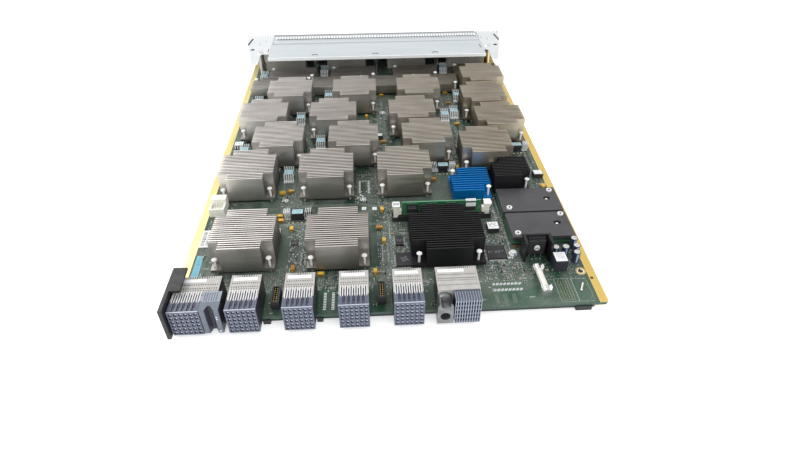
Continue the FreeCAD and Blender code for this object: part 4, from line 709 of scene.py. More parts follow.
frame_mark(143.6, 158.7, 2.0, 29.8)
frame_mark(158.9, 172.0, 2.2, 29.2)
for i in range(5):
    marks.box(146.4 + 2.3 * i, 146.7 + 2.3 * i, 4.0, 27.4, 0.01, 0.05, CERAM)
for row, yy in enumerate((24.6, 17.6)):
    for i in range(8):
        x = 89.3 + 3.25 * i
        marks.box(x, x + 0.7, yy, yy + 3.2, 0.01, 0.07, LABEL, rot=-26)
        marks.box(x + 1.1, x + 1.8, yy, yy + 3.2, 0.01, 0.07, LABEL, rot=-26)
        marks.box(x - 0.3, x + 2.4, yy + 1.0, yy + 1.9, 0.01, 0.07, LABEL)
for x0, x1, y0, y1 in ((86.0, 108.0, 30.0, 39.0), (86.5, 108.5, 41.0, 50.0), (90.0, 112.0, 55.5, 77.0),
                       (107.0, 113.0, 86.0, 112.0), (-27.5, -13.0, 166.0, 191.0), (-15.5, 2.0, 320.0, 352.0),
                       (6.0, 25.0, 49.5, 72.0), (7.0, 17.8, 80.0, 96.5), (-100.0, -72.0, 120.0, 140.0),
                       (-110.0, -92.0, 166.0, 178.0), (60.0, 76.0, 201.0, 217.0), (152.0, 167.0, 239.0, 255.0)):
    frame_mark(x0, x1, y0, y1)
for x, y, n in ((-52.0, 29.5, 6), (-25.0, 200.0, 6), (118.0, 9.0, 5), (132.0, 42.5, 4), (-94.0, 100.0, 5), (-2.0, 118.0, 5),
                (110.0, 118.0, 4), (-100.0, 148.0, 6), (86.0, 197.0, 6), (0.5, 333.0, 5), (20.0, 44.0, 8), (-80.0, 44.0, 6),
                (160.0, 160.0, 5), (30.0, 33.0, 5), (-164.0, 60.0, 5), (66.0, 22.0, 5), (75.0, 8.0, 6)):
    ticks(x, y, n)
for x, y, n in ((-79.0, 60.0, 14), (-75.5, 60.0, 14), (0.5, 60.0, 20), (3.0, 92.0, 12), (113.5, 60.0, 30), (-4.8, 62.0, 16),
                (109.6, 118.0, 26), (-158.0, 92.0, 10)):
    ticks(x, y, n, 1.35, 0.8, "y")

# pad footprints
for x0, y0, nx, ny, px, py, w, h in ((-55.6, 5.0, 2, 11, 6.9, 1.85, 2.5, 0.95), (-26.0, 168.6, 2, 8, 9.6, 2.75, 2.1, 1.5),
                                     (13.2, 100.0, 5, 2, 1.6, 4.6, 0.8, 1.5), (116.0, 45.0, 2, 4, 3.2, 2.2, 1.5, 1.0),
                                     (-25.5, 190.5, 4, 1, 3.1, 1, 1.7, 1.3), (-9.0, 400.0, 2, 6, 5.0, 2.2, 1.6, 1.0)):
    for i in range(nx):
        for j in range(ny):
            x, y = x0 + px * i, y0 + py * j
            smd.box(x, x + w, y, y + h, 0.01, 0.14, TIN, 0.03)
            BLOCKED.append((x, x + w, y, y + h))
for x, y in ((-22.0, 163.0), (-26.5, 160.5), (-24.3, 164.8), (-20.6, 141.0), (-10.0, 140.6)):
    smd.lathe((x, y, 0), [(1.5, 0.02), (1.5, 0.35), (0.9, 0.8), (0.0, 0.85)], TIN, 12)
for x, y in ((-20.6, 141.0), (-10.0, 140.4)):
    smd.box(x - 2.3, x + 2.3, y - 2.3, y + 2.3, 0.02, 0.9, LABEL, 0.2)
    smd.lathe((x, y, 0), [(0.9, 0.9), (0.9, 1.2), (0.0, 1.25)], TIN, 10)

# rows of solder balls along the front edges of the packages
balls = Build()


def ball_row(x0, x1, y, n, r=0.58, z=1.35, rows=2, py=1.25):
    step = (x1 - x0) / n
    for k in range(rows):
        for i in range(n):
            x = x0 + step * (i + 0.5 * (k % 2) + 0.25)
            balls.lathe((x, y - py * k, 0), [(r * 0.7, 0.02), (r, 0.3), (r * 0.8, z), (0.0, z * 1.12)], TIN, 8)


for cx, cy in ((-139.5, 185.5), (-58.2, 184.3), (22.4, 184.5)):
    ball_row(cx - 17, cx + 20, cy - 27.1, 19)
for cx, cy in ((115.8, 223.3), (-30.6, 245.0), (52.5, 246.3), (40.0, 306.5), (-127.3, 79.3), (-43.9, 77.6), (53.0, 370.5)):
    ball_row(cx - 19, cx + 19, cy - 27.1, 18, rows=1)

# star-shaped spring marks with a bright centre
for x, y, s in ((-101.8, 159.4, 1.0), (-21.5, 157.3, 1.0), (5.4, 347.8, 1.25)):
    for a in (0, 45, 90, 135):
        smd.box(x - 3.4 * s, x + 3.4 * s, y - 0.55, y + 0.55, 0.02, 0.55, LABEL, 0.1, rot=a + 12)
    smd.lathe((x, y, 0), [(1.9 * s, 0.02), (1.9 * s, 0.9), (1.2 * s, 1.5), (0.0, 1.6)], BRIGHT, 14)
    for a in range(4):
        t = math.radians(45 + 90 * a)
        smd.lathe((x + 3.2 * s * math.cos(t), y + 3.2 * s * math.sin(t), 0), [(0.7, 0.02), (0.7, 0.5), (0, 0.55)], CYAN_PAD, 8)

# dense fields of parts between the sinks
scatter(86, 114, 30, 60, 44)
scatter(112, 128, 30, 62, 16)
scatter(78, 114, 60, 112, 62)
scatter(108, 116, 76, 160, 49)
scatter(-8, 14, 30, 118, 62)
scatter(-12, 8, 118, 170, 35)
scatter(10, 24, 60, 112, 42)
scatter(-90, -72, 40, 112, 62)
scatter(-108, -72, 112, 175, 49)
scatter(-30, -4, 150, 205, 42)
scatter(-8, 14, 205, 420, 134)
scatter(80, 112, 200, 420, 156)
scatter(-100, -60, 200, 420, 91)
scatter(-174, -150, 60, 440, 85)
scatter(150, 174, 155, 260, 56)
scatter(136, 174, 30, 66, 15)
scatter(-170, 170, 425, 520, 107)
scatter(-150, 90, 4, 50, 78)
scatter(-172, 172, 28, 44, 42)
scatter(150, 174, 260, 330, 20)
smd.make("chip_components", slot="board_green")
marks.make("printed_marks", slot="board_green")
balls.make("package_balls", slot="chip_black")

# track bundles: fine raised lines in groups that bend once
tracks = Build()


def bundle(pts, n, pitch=0.7, w=0.26):
    for i in range(n):
        o = (i - (n - 1) / 2) * pitch
        for a, b in zip(pts[:-1], pts[1:]):
            d = Vector((b[0] - a[0], b[1] - a[1]))
            L = d.length
            u = d / L
            nrm = Vector((-u.y, u.x))
            cx, cy = (a[0] + b[0]) / 2 + nrm.x * o, (a[1] + b[1]) / 2 + nrm.y * o
            hx = L / 2 + pitch * 0.5
            tracks.box(cx - hx, cx + hx, cy - w / 2, cy + w / 2, 0.005, 0.045, TRACK, rot=math.degrees(math.atan2(u.y, u.x)))


for x in (-83.0, -76.5, -5.0, 1.5, 77.0, 83.5, 104.0):
    bundle([(x, 36), (x, 56), (x + 3.4, 62), (x + 3.4, 118)], 7)
for x in (-150.0, -112.0, -105.0, -68.0, -61.0, -24.5, -17.5, 24.0, 31.0, 60.0, 74.0, 82.0):
    bundle([(x, 27.5), (x + 2, 34), (x + 2, 52)], 8)
for x in (-166.0, -171.5):
    bundle([(x, 30), (x, 88), (x + 2, 92), (x + 2, 134)], 7)
for x in (-103.0, -93.5, -87.0, -4.5, 2.2):
    bundle([(x, 141), (x, 170), (x - 2.4, 176), (x - 2.4, 226)], 6)
for x in (86.0, 92.5, 99.0, -12.0, -3.0, 4.5):
    bundle([(x, 212), (x, 270), (x + 2.4, 276), (x + 2.4, 340), (x, 346), (x, 420)], 6)
for x in (160.0, 166.0, 171.5):
    bundle([(x, 158), (x, 176), (x + 1.2, 180), (x + 1.2, 300)], 5)
for y in (33.0, 43.0, 52.5, 116.0, 146.0):
    bundle([(-160, y), (-110, y), (-104, y + 3), (-20, y + 3), (-14, y), (70, y)], 5)
for y in (33.5, 52.0):
    bundle([(112, y), (124, y)], 5)
for x in (-138.0, -129.0, -92.0, -84.0, -48.0, -40.0, -6.0, 3.0, 11.0, 46.0, 68.0):
    bundle([(x, 26.5), (x, 33), (x - 3, 38), (x - 3, 50)], 6)
for x in (90.0, 97.5, 105.0):
    bundle([(x, 4), (x, 14)], 5)
for y in (120.0, 127.0, 154.0, 160.5, 167.0):
    bundle([(-98, y), (-74, y)], 5)
    bundle([(-26, y + 36), (-8, y + 36)], 5)
tracks.make("printed_tracks", slot="board_green")

# plated holes around the packages
for cx0, cx1, cy0, cy1, step in ((-176, 174, 29, 58, 2.1), (-90, -72, 58, 160, 2.0), (-8, 12, 58, 205, 2.0), (78, 114, 80, 160, 2.2),
                                 (-20, 6, 205, 420, 2.6), (84, 110, 205, 420, 2.6), (-172, -150, 110, 420, 2.6)):
    ny = int((cy1 - cy0) / step)
    nx = int((cx1 - cx0) / step)
    for i in range(nx):
        for j in range(ny):
            if rnd.random() > 0.34:
                continue
            x, y = cx0 + step * i, cy0 + step * j
            if free(x - 0.4, x + 0.4, y - 0.4, y + 0.4, 0.1, True):
                vias.lathe((x, y, 0), [(0.46, 0.01), (0.42, 0.07), (0.2, 0.07), (0.18, 0.015)], TIN, 6)
vias.make("plated_holes", slot="board_green")

# ------------------------------------------------------- regulators with fin combs
reg_bits = Build()


def fingers(b, x0, x1, n, y_foot, y_tip, z_foot, z_tip, mat, duty=0.55, plate=True, t=0.35):
    """A row of sheet-metal fingers rising from a common foot strip."""
    step = (x1 - x0) / n
    for i in range(n):
        xa = x0 + step * (i + (1 - duty) / 2)
        xb = xa + step * duty
        V = [(xa, y_foot, z_foot), (xb, y_foot, z_foot), (xb, y_tip, z_tip), (xa, y_tip, z_tip),
             (xa, y_foot + t, z_foot + t), (xb, y_foot + t, z_foot + t), (xb, y_tip + t, z_tip + t * 0.3), (xa, y_tip + t, z_tip + t * 0.3)]
        b.add(V, [(0, 3, 2, 1), (4, 5, 6, 7), (0, 1, 5, 4), (1, 2, 6, 5), (2, 3, 7, 6), (3, 0, 4, 7)], mat)


def reg_fb(x, y, turn, cyan=True, front=5.0, h=8.6):
    """Body between a front and a rear comb."""
    s = 1 if not turn else 1
    reg_bits.box(x - 5.3, x + 5.3, y - 4.0, y + 4.9, 4.45, 4.9, FIN_W, 0.1)
    reg_bits.box(x - 4.95, x + 4.95, y - 3.9, y + 4.8, 4.9, 8.0, CHIP, 0.2)
    if cyan:
        reg_bits.box(x - 4.85, x + 4.85, y - 3.8, y + 4.7, 8.02, 8.2, CYAN_PAD, 0.05)
        for r_ in range(2):
            for i in range(6):
                w = rnd.uniform(0.4, 0.9)
                reg_bits.box(x - 3.9 + 1.3 * i, x - 3.9 + 1.3 * i + w, y + 1.5 - 2.6 * r_, y + 2.3 - 2.6 * r_, 8.2, 8.23, INK)
    fingers(reg_bits, x - 5.8, x + 5.8, 5, y + 5.0, y + 6.5, 0.3, h + 2.2, FIN_W, 0.5)
    fingers(reg_bits, x - 5.8, x + 5.8, 5, y - 6.0, y - 4.5, 0.3, 8.1, FIN_W, 0.62)
    reg_bits.box(x - 5.6, x + 5.6, y - 5.2 - front * 0.55, y - 5.0, 0.15, 0.6, FIN_W, 0.1)
    for i in range(5):
        xa = x - 5.6 + 2.24 * i + 0.45
        reg_bits.box(xa, xa + 1.35, y - 5.4 - front, y - 5.0, 0.1, 1.5, FIN_W, 0.15)


def reg_lr(x, y, left=True, right=True, cyan=True):
    """Body between a left and a right wing of blades."""
    reg_bits.box(x - 5.4, x + 5.4, y - 4.4, y + 3.2, 4.45, 7.2, CHIP, 0.2)
    if cyan:
        reg_bits.box(x - 5.3, x + 5.3, y - 3.6, y + 3.2, 7.22, 7.45, CYAN_PAD, 0.05)
        for r_ in range(2):
            for i in range(6):
                w = rnd.uniform(0.4, 0.9)
                reg_bits.box(x - 3.9 + 1.3 * i, x - 3.9 + 1.3 * i + w, y + 0.6 - 2.2 * r_, y + 1.3 - 2.2 * r_, 7.45, 7.48, INK)
    for s, on in ((-1, left), (1, right)):
        if not on:
            continue
        for k in range(4):
            xa = x + s * (6.2 + 1.75 * k)
            lean = s * 0.55
            for j, yy in enumerate((y - 4.2, y - 0.4)):
                V = []
                for z in (0.2, 9.4):
                    dx = lean * z / 3.0
                    for ex, ey in ((-0.28, 0), (0.28, 0), (0.28, 3.1), (-0.28, 3.1)):
                        V.append((xa + dx + ex, yy + ey, z))
                reg_bits.add(V, [(0, 3, 2, 1), (4, 5, 6, 7), (0, 1, 5, 4), (1, 2, 6, 5), (2, 3, 7, 6), (3, 0, 4, 7)], FIN_W)
        a, b = sorted((x + s * 5.2, x + s * 12.2))
        reg_bits.box(a, b, y - 4.2, y + 3.0, 0.1, 0.55, FIN_W, 0.1)
    for i in range(5):
        reg_bits.lathe((x - 8.4 + 4.2 * i, y - 9.4, 0), [(0.95, 0.02), (0.95, 0.5), (0.5, 0.8), (0.0, 0.85)], TIN if i % 2 else GOLD, 8)


for i, b in enumerate(sorted(islands("voltage_regulators"), key=lambda q: (round(q[2]), round(q[0])))):
    cx, cy = (b[0] + b[1]) / 2, (b[2] + b[3]) / 2
    if b[1] - b[0] > 15:
        continue
    near = lambda px, py: abs(cx - px) < 5 and abs(cy - py) < 5
    if near(67.8, 208.3) or near(159.3, 246.8):
        reg_lr(cx, cy + 0.4, True, True)
    elif near(-2.0, 284.3):
        reg_bits.box(cx - 4.6, cx + 4.6, cy - 3.8, cy + 2.6, 4.42, 4.6, TIN, 0.1)
    elif near(-166.9, 271.8):
        reg_bits.box(cx - 5.0, cx + 5.0, cy - 4.4, cy + 4.2, 4.45, 4.75, LABEL, 0.1)
        for k in range(3):
            reg_bits.box(cx - 3.6 + 2.6 * k, cx - 2.2 + 2.6 * k, cy - 2.0, cy + 1.8, 4.75, 4.8, CYAN_PAD)
        fingers(reg_bits, cx - 5.4, cx + 5.4, 4, cy - 6.0, cy - 5.2, 0.3, 3.6, TIN, 0.5)
    else:
        reg_fb(cx, cy, False)
reg_lr(-86.2, 131.2, True, True)
reg_bits.make("regulator_fins", slot="chip_black")

# ------------------------------------------------------------- tantalum markings
tant = Build()
for i, b in enumerate(islands("tantalum_capacitors")):
    dx, dy = b[1] - b[0], b[3] - b[2]
    orange = i in (5, 9, 12, 14, 17)
    m2 = TANT_O if orange else TANT_Y
    if dx > dy:
        x0, x1 = b[0] + 0.32, b[1] - 0.32
        y0, y1 = b[2] + 0.02, b[3] - 0.02
        if dy > 4.0:
            continue
        tant.box(x0, x1, y0, y1, 2.66, 2.86, m2, 0.12)
        tant.box(x0 - 0.02, x1 + 0.02, y0 - 0.12, y0 + 0.02, 0.5, 2.7, TANT_D, 0.03)
        tant.box(x0 + 0.1, x0 + 1.1, y0 + 0.05, y1 - 0.05, 2.86, 2.9, TANT_D)
    else:
        x0, x1 = b[0] + 0.02, b[1] - 0.02
        y0, y1 = b[2] + 0.32, b[3] - 0.32
        tant.box(x0, x1, y0, y1, 2.66, 2.86, m2, 0.12)
        tant.box(x0 - 0.02, x1 + 0.02, y0 - 0.12, y0 + 0.02, 0.5, 2.7, TANT_D, 0.03)
        tant.box(x0 + 0.05, x1 - 0.05, y0 + 0.1, y0 + 1.1, 2.86, 2.9, TANT_D)
tant.make("tantalum_markings", slot="tantalum_yellow")

# -------------------------------------------------------- backplane connectors
conn = Build()
for k in range(5):
    cx = -160.6 + 43.8 * k
    zc = -3.4 + 12.65
    # spring contacts standing in every cavity: a painted highlight on one corner, painted shade deeper in the cavity
    for i in range(6):
        for j in range(6):
            x = cx + 3.85 * (i - 2.5)
            z = zc + 4.1 * (j - 2.5)
            conn.box(x + 0.1, x + 1.05, -11.92, -7.4, z + 0.2, z + 1.1, CONTACT, 0.15)
            conn.box(x - 0.75, x + 0.15, -11.2, -7.6, z - 0.75, z + 0.25, HDR_C, 0.15, rot=0)
            conn.box(x - 1.1, x - 0.35, -11.0, -7.0, z - 1.1, z - 0.35, CAVITY_SHADE, 0.1)
    # bright moulded lip along the top front edge
    conn.box(cx - 12.05, cx + 12.05, -11.98, -11.1, 22.3, 22.62, LIP, 0.08)
    # white wafer fingers reaching between the ribs
    wx = -154.8 if k == 0 else cx
    for i in range(6):
        x = cx + 3.85 * (i - 2.5)
        for e in (-0.95, 0.95):
            conn.prism([(x + e - 0.42, 10.2), (x + e - 0.42, -0.6), (x + e * 0.8, -2.8), (x + e + 0.42, -0.6), (x + e + 0.42, 10.2)],
                       22.42, 22.66, WAFER_W)
        # painted shade in the slots between the fingers and ribs, and in the round holes
        conn.box(x - 0.52, x + 0.52, -2.2, 7.4, 22.32, 22.46, CAVITY_SHADE)
        conn.lathe((x, 7.6, 0), [(0.85, 22.32), (0.85, 22.44), (0.0, 22.46)], CAVITY_SHADE, 10)
        if i < 5:
            conn.box(x + 1.4, x + 2.45, -6.0, 6.4, 22.32, 22.46, CAVITY_SHADE)
conn.make("connector_contacts", slot="connector_grey")

waf = Build()
for cx, w, lab in [(-116.8, 24.2, 17.0), (-73.0, 24.2, 17.0), (-29.2, 24.2, 17.0), (14.6, 24.2, 18.0), (-154.8, 35.6, 19.0), (55.4, 34.6, 22.0)]:
    x0, x1 = cx - w / 2, cx + w / 2
    waf.box(x0 + 1.9, x0 + 1.9 + min(w * 0.8, 22.0), 20.4, 24.2, 22.31, 22.5, LABEL, 0.05)
    n = int(w / 1.92)
    # contact holes in the wafer tops, painted as dark shade
    for row, yy in enumerate((13.4, 17.6)):
        for i in range(n):
            x = x0 + 1.0 + (w - 2.0) * (i + 0.5) / n
            waf.box(x - 0.4, x + 0.4, yy - 0.5, yy + 0.5, 22.3, 22.42, HOLE_SHADE)
    # dark plates on both sides
    waf.box(x1 + 0.02, x1 + 0.22, 0.3, 24.4, 0.3, 21.9, DARK_PLATE, 0.05)
    waf.box(x0 - 0.22, x0 - 0.02, 0.3, 24.4, 0.3, 21.9, DARK_PLATE, 0.05)
    # solder tails and teeth behind
    for i in range(n):
        x = x0 + 1.0 + (w - 2.0) * (i + 0.5) / n
        waf.box(x - 0.3, x + 0.3, 24.6, 27.2, 21.3, 22.25, WAFER_W, 0.1)
        waf.box(x - 0.97, x - 0.89, 10.4, 24.3, 22.3, 22.34, GREYSEAM)
waf.make("wafer_details", slot="wafer_cream")

# printed ticks on the labels
ink = Build()


def print_block(x0, x1, y0, y1, z, rows, n, mat=None):
    for r_ in range(rows):
        yy = y0 + (y1 - y0) * (r_ + 0.25) / rows
        h = (y1 - y0) / rows * 0.42
        for i in range(n):
            if rnd.random() < 0.14:
                continue
            xx = x0 + (x1 - x0) * i / n
            w = (x1 - x0) / n * rnd.uniform(0.35, 0.8)
            ink.box(xx, xx + w, yy, yy + h, z, z + 0.03, mat or INK)


# side of the key block: bright springs, and a dark plate of painted shade in the channel
keyb = Build()
keyb.box(-147.9, -133.3, -2.8, 8.4, 23.31, 23.42, LIP_D, 0.05)
for i in range(6):
    keyb.box(-146.2 + 1.9 * i, -145.5 + 1.9 * i, -1.6 - 0.5 * (i % 2), 6.6, 23.42, 23.6, CONN, 0.05)
    keyb.box(-145.4 + 1.9 * i, -145.15 + 1.9 * i, -2.2, 5.8, 23.42, 23.55, LIP, 0.03)
keyb.prism([(-142.0, -7.16), (-140.2, -7.16), (-140.2, -6.93), (-142.0, -6.93)], -2.8, 23.1, DARK_PLATE)
keyb.box(-147.9, -144.4, -11.72, -11.6, -2.6, 23.0, CONN_L, 0.03)
keyb.box(-136.8, -133.3, -11.72, -11.6, -2.6, 23.0, CONN_L, 0.03)
for z in (14.6, 12.2):
    keyb.box(-136.4, -135.2, -11.84, -11.72, z, z + 1.1, BRIGHT, 0.04)
keyb.box(-136.2, -134.6, -11.84, -11.72, -1.8, 0.2, LIP, 0.05)
keyb.make("key_block_details", slot="connector_grey")

# header: bright ribs between the paired slots, contact beams inside
hdr = Build()
for i in range(10):
    for j in range(5):
        x = 51.0 + 2.1 * (i + 0.5)
        z = -3.4 + 12.65 + 4.6 * (j - 2)
        hdr.box(x - 0.5, x + 0.5, -9.6, -7.0, z - 1.2, z + 1.2, HDR_C, 0.1)
for i in range(11):
    x = 51.0 + 2.1 * i
    x = min(max(x, 51.25), 71.75)
    hdr.box(x - 0.22, x + 0.22, -11.9, -2.2, 22.5, 22.8, LIP_B, 0.08)
    hdr.box(x - 0.26, x + 0.26, -12.14, -12.0, -2.8, 22.2, LIP_B, 0.03)
hdr.make("header_contacts", slot="connector_grey")

# box headers: two rows of gold pins in the well
pins = Build()
for hx, hy in ((-94.4, 17.0), (-6.8, 17.6)):
    for i in range(7):
        for s in (-1, 1):
            x, y = hx + s * 0.95, hy - 6.9 + 2.3 * i
            pins.box(x - 0.36, x + 0.36, y - 0.36, y + 0.36, 2.3, 8.2, GOLD, 0.1)
            pins.box(x - 0.55, x + 0.55, y - 0.55, y + 0.55, 2.25, 2.9, SOCK, 0.1)
    pins.box(hx - 3.5, hx + 3.5, hy - 9.0, hy - 8.3, 9.0, 9.06, SOCK)
pins.make("header_pins", slot="socket_black")

# side connector: yellowed contacts in the well, latch rib
sc_ = Build()
sx, sy = -166.4, 146.5
for i in range(4):
    sc_.box(sx - 4.6 + 2.6 * i, sx - 3.8 + 2.6 * i, sy - 7.6, sy - 0.4, 5.4, 6.6, CREAM_W, 0.15)
    sc_.box(sx - 4.9 + 2.6 * i, sx - 3.3 + 2.6 * i, sy - 0.2, sy + 0.5, 5.5, 11.6, CREAM_W, 0.1)
sc_.box(sx - 7.3, sx + 7.3, sy - 10.4, sy - 9.0, 9.0, 9.35, CREAM_W, 0.1)
sc_.box(sx - 7.3, sx + 7.3, sy + 3.2, sy + 10.2, 12.4, 12.6, CREAM_W, 0.15)
sc_.make("side_connector_contacts", slot="latch_cream")

# ---------------------------------------------------------------- memory module
mem = Build()
my = 122.5
for i in range(4):
    x0 = 21.5 + 19.0 * i
    mem.box(x0 + 0.02, x0 + 10.98, my - 1.72, my - 1.6, 8.65, 18.75, CHIP, 0.05)
    mem.box(x0 + 0.02, x0 + 10.98, my + 1.6, my + 1.72, 8.65, 18.75, CHIP, 0.05)
    for r_ in range(2):
        for k in range(5):
            w = rnd.uniform(0.7, 1.3)
            mem.box(x0 + 1.4 + 1.7 * k, x0 + 1.4 + 1.7 * k + w, my - 1.78, my - 1.71, 15.2 - 2.0 * r_, 16.2 - 2.0 * r_, GREYMARK)
    for k in range(9):
        for z0, z1 in ((7.7, 8.6), (18.8, 19.6)):
            mem.box(x0 + 0.7 + 1.12 * k, x0 + 1.2 + 1.12 * k, my - 1.0, my - 0.62, z0, z1, TIN)
    for k in range(4):
        mem.box(x0 + 12.2 + 1.5 * k, x0 + 13.2 + 1.5 * k, my - 0.95, my - 0.61, 10.0 + 1.9 * (k % 3), 11.0 + 1.9 * (k % 3), CERAM, 0.05)
for k in range(36):
    mem.box(18.6 + 2.08 * k, 19.9 + 2.08 * k, my - 0.72, my - 0.6, 2.2, 6.6, GOLD)
mem.box(17.2, 94.2, my - 0.66, my + 0.66, 20.3, 20.56, MEM_EDGE, 0.05)
mem.box(79.4, 89.2, my - 1.86, my - 1.72, 14.0, 18.4, LABEL, 0.03)
mem.box(79.4, 89.2, my - 1.86, my + 1.7, 20.56, 20.8, LABEL, 0.03)
for k in range(6):
    mem.box(80.3 + 1.4 * k, 81.0 + 1.4 * k, my - 1.3, my + 0.2, 20.8, 20.83, INK)
mem.make("memory_details", slot="memory_green")

lat = Build()
lat.box(7.7, 14.7, my - 4.3, my + 4.3, 18.02, 18.2, LABEL, 0.05)
for k in range(5):
    lat.box(8.4 + 1.15 * k, 9.0 + 1.15 * k, my - 1.8, my + 2.2, 18.2, 18.24, INK)
lat.box(8.3, 12.4, my - 4.72, my - 4.6, 5.5, 16.6, CREAM_W, 0.05)
lat.make("latch_label_left", body="latch_left", slot="latch_cream")
lat = Build()
lat.box(97.2, 104.4, my - 4.3, my + 4.3, 18.02, 18.2, CREAM_W, 0.05)
for z in (6.5, 8.5, 10.5):
    lat.box(98.4, 102.6, my - 4.8, my - 4.6, z, z + 0.9, CREAM_W, 0.08)
lat.make("latch_grip_right", body="latch_right", slot="latch_cream")

# ------------------------------------------------------------- labels and chips
lab = Build()
lab.box(-175.4, -165.6, 90.0, 115.0, 0.02, 0.2, LABEL, 0.05)
for k in range(18):
    w = rnd.uniform(0.25, 0.75)
    lab.box(-174.2, -171.0, 92.2 + 1.15 * k, 92.2 + 1.15 * k + w, 0.2, 0.23, INK)
    if k % 2:
        lab.box(-169.9, -168.6, 92.2 + 1.15 * k, 92.2 + 1.15 * k + 0.7, 0.2, 0.23, INK)
lab.prism([(-173.2, 50.5), (-167.1, 50.1), (-167.9, 77.7), (-173.6, 78.0)], 0.02, 0.2, CYAN_LB)
for k in range(14):
    w = rnd.uniform(0.5, 1.1)
    lab.box(-172.2, -168.8, 52.4 + 1.75 * k, 52.4 + 1.75 * k + w * 0.7, 0.2, 0.22, CYAN_D)
# marked relay, edge module, relay case
lab.box(98.2, 108.6, 95.4, 105.8, 5.22, 5.4, LABEL, 0.08)
lab.box(147.5, 157.7, 39.5, 51.3, 11.62, 11.8, LABEL, 0.08)
lab.box(165.4, 175.0, 185.9, 193.7, 5.22, 5.42, LABEL, 0.1)
lab.make("labels", slot="board_green")
print_block(99.4, 107.6, 97.0, 104.6, 5.4, 4, 6)
print_block(148.8, 156.6, 41.4, 49.8, 11.8, 5, 6, GREYMARK)
for i, b in enumerate(islands("flat_chips")):
    cx, cy = (b[0] + b[1]) / 2, (b[2] + b[3]) / 2
    if abs(cx - 15.5) < 2 and abs(cy - 60.8) < 2:
        for a, c in ((-3.6, 3.6),):
            for t in (-1, 1):
                ink.box(cx - 2.6, cx + 2.6, cy + 2.3 * t - 0.25, cy + 2.3 * t + 0.25, 2.41, 2.45, GREYMARK, rot=28)
                ink.box(cx + 2.3 * t - 0.25, cx + 2.3 * t + 0.25, cy - 2.6, cy + 2.6, 2.41, 2.45, GREYMARK, rot=28)
        ink.box(cx - 1.2, cx + 1.2, cy - 0.3, cy + 0.3, 2.41, 2.45, GREYMARK, rot=28)
    elif b[5] < 2.2:
        print_block(b[0] + 1.2, b[1] - 1.2, cy - 1.6, cy + 1.8, b[5] + 0.01, 2, 5, GREYMARK)
ink.make("printed_text", slot="board_green")

# gull-wing leads round the flat chips
leads = Build()
for b in islands("flat_chips") + islands("controller_packages"):
    x0, x1, y0, y1, z0, z1 = b
    if z1 > 4.9:
        continue
    quad = (x1 - x0) > 11 or (x1 - x0) > 6.5 and (y1 - y0) < 9.5
    step = 0.8
    n = int((y1 - y0 - 1.2) / step)
    for i in range(n):
        y = (y0 + y1) / 2 + (i - (n - 1) / 2) * step
        for s, xe in ((-1, x0), (1, x1)):
            a, c = sorted((xe, xe + s * 0.55))
            leads.box(a, c, y - 0.17, y + 0.17, 0.6, 0.8, TIN)
            a, c = sorted((xe + s * 0.5, xe + s * 1.25))
            leads.box(a, c, y - 0.17, y + 0.17, 0.03, 0.2, TIN)
            a, c = sorted((xe + s * 0.42, xe + s * 0.6))
            leads.box(a, c, y - 0.17, y + 0.17, 0.1, 0.8, TIN)
    if quad:
        n = int((x1 - x0 - 1.2) / step)
        for i in range(n):
            x = (x0 + x1) / 2 + (i - (n - 1) / 2) * step
            for s, ye in ((-1, y0), (1, y1)):
                a, c = sorted((ye, ye + s * 0.55))
                leads.box(x - 0.17, x + 0.17, a, c, 0.6, 0.8, TIN)
                a, c = sorted((ye + s * 0.5, ye + s * 1.25))
                leads.box(x - 0.17, x + 0.17, a, c, 0.03, 0.2, TIN)
                a, c = sorted((ye + s * 0.42, ye + s * 0.6))
                leads.box(x - 0.17, x + 0.17, a, c, 0.1, 0.8, TIN)
leads.make("chip_leads", slot="chip_black")

# -------------------------------------------------------- power corner details
pw = Build()
for x, y in ((152.5, 59.0), (161.7, 59.1), (172.8, 70.4), (172.1, 60.2), (169.6, 51.2)):
    pw.lathe((x, y, 0), [(2.7, 11.42), (3.25, 11.42), (3.25, 11.1), (3.26, 10.6)][::-1], SLEEVE, 24)
    pw.lathe((x, y, 0), [(2.75, 11.42), (2.7, 11.55), (0.0, 11.6)], CAN_TOP, 24)
    for a in (0, 60, 120):
        pw.box(x - 2.2, x + 2.2, y - 0.12, y + 0.12, 11.58, 11.63, CAN_M, rot=a + 15)
    pw.box(x - 0.8, x + 0.8, y - 3.32, y - 3.16, 0.8, 10.6, STRIPE, 0.05)
# fuse end caps and clip ears
fa = math.radians(1.5)
ux, uy = -math.sin(fa), math.cos(fa)
for s in (-1, 1):
    c0 = (131.5 + ux * s * 10.2, 24.6 + uy * s * 10.2, 6.0)
    c1 = (131.5 + ux * s * 16.1, 24.6 + uy * s * 16.1, 6.0)
    pw.tube(c0, c1, 3.22, 3.22, BRIGHT, 24)
    for e in (-1, 1):
        m_ = (131.5 + ux * s * 12.6 + uy * e * 3.7, 24.6 + uy * s * 12.6 - ux * e * 3.7)
        pw.box(m_[0] - 0.3, m_[0] + 0.3, m_[1] - 2.6, m_[1] + 2.6, 0.1, 8.6, BRIGHT, 0.1, rot=1.5)
        pw.box(m_[0] - 0.3 + e * 0.6, m_[0] + 0.3 + e * 0.6, m_[1] - 2.2, m_[1] + 2.2, 8.2, 9.6, BRIGHT, 0.1, rot=1.5)
# transistor screw head, leads and face
pw.box(127.4, 142.4, 59.6, 59.69, 2.8, 17.9, CHIP, 0.03)
for dx in (-5.4, 0.0, 5.4):
    pw.box(134.9 + dx - 0.45, 134.9 + dx + 0.45, 60.4, 61.2, 0.05, 2.8, TIN, 0.05)
    pw.lathe((134.9 + dx * 0.7, 56.6 - abs(dx) * 0.1, 0), [(1.0, 0.02), (1.0, 0.6), (0.0, 0.9)], TIN, 8)
pw.tube((134.9, 58.6, 11.4), (134.9, 57.7, 11.4), 2.9, 2.5, SCREW_W, 20)
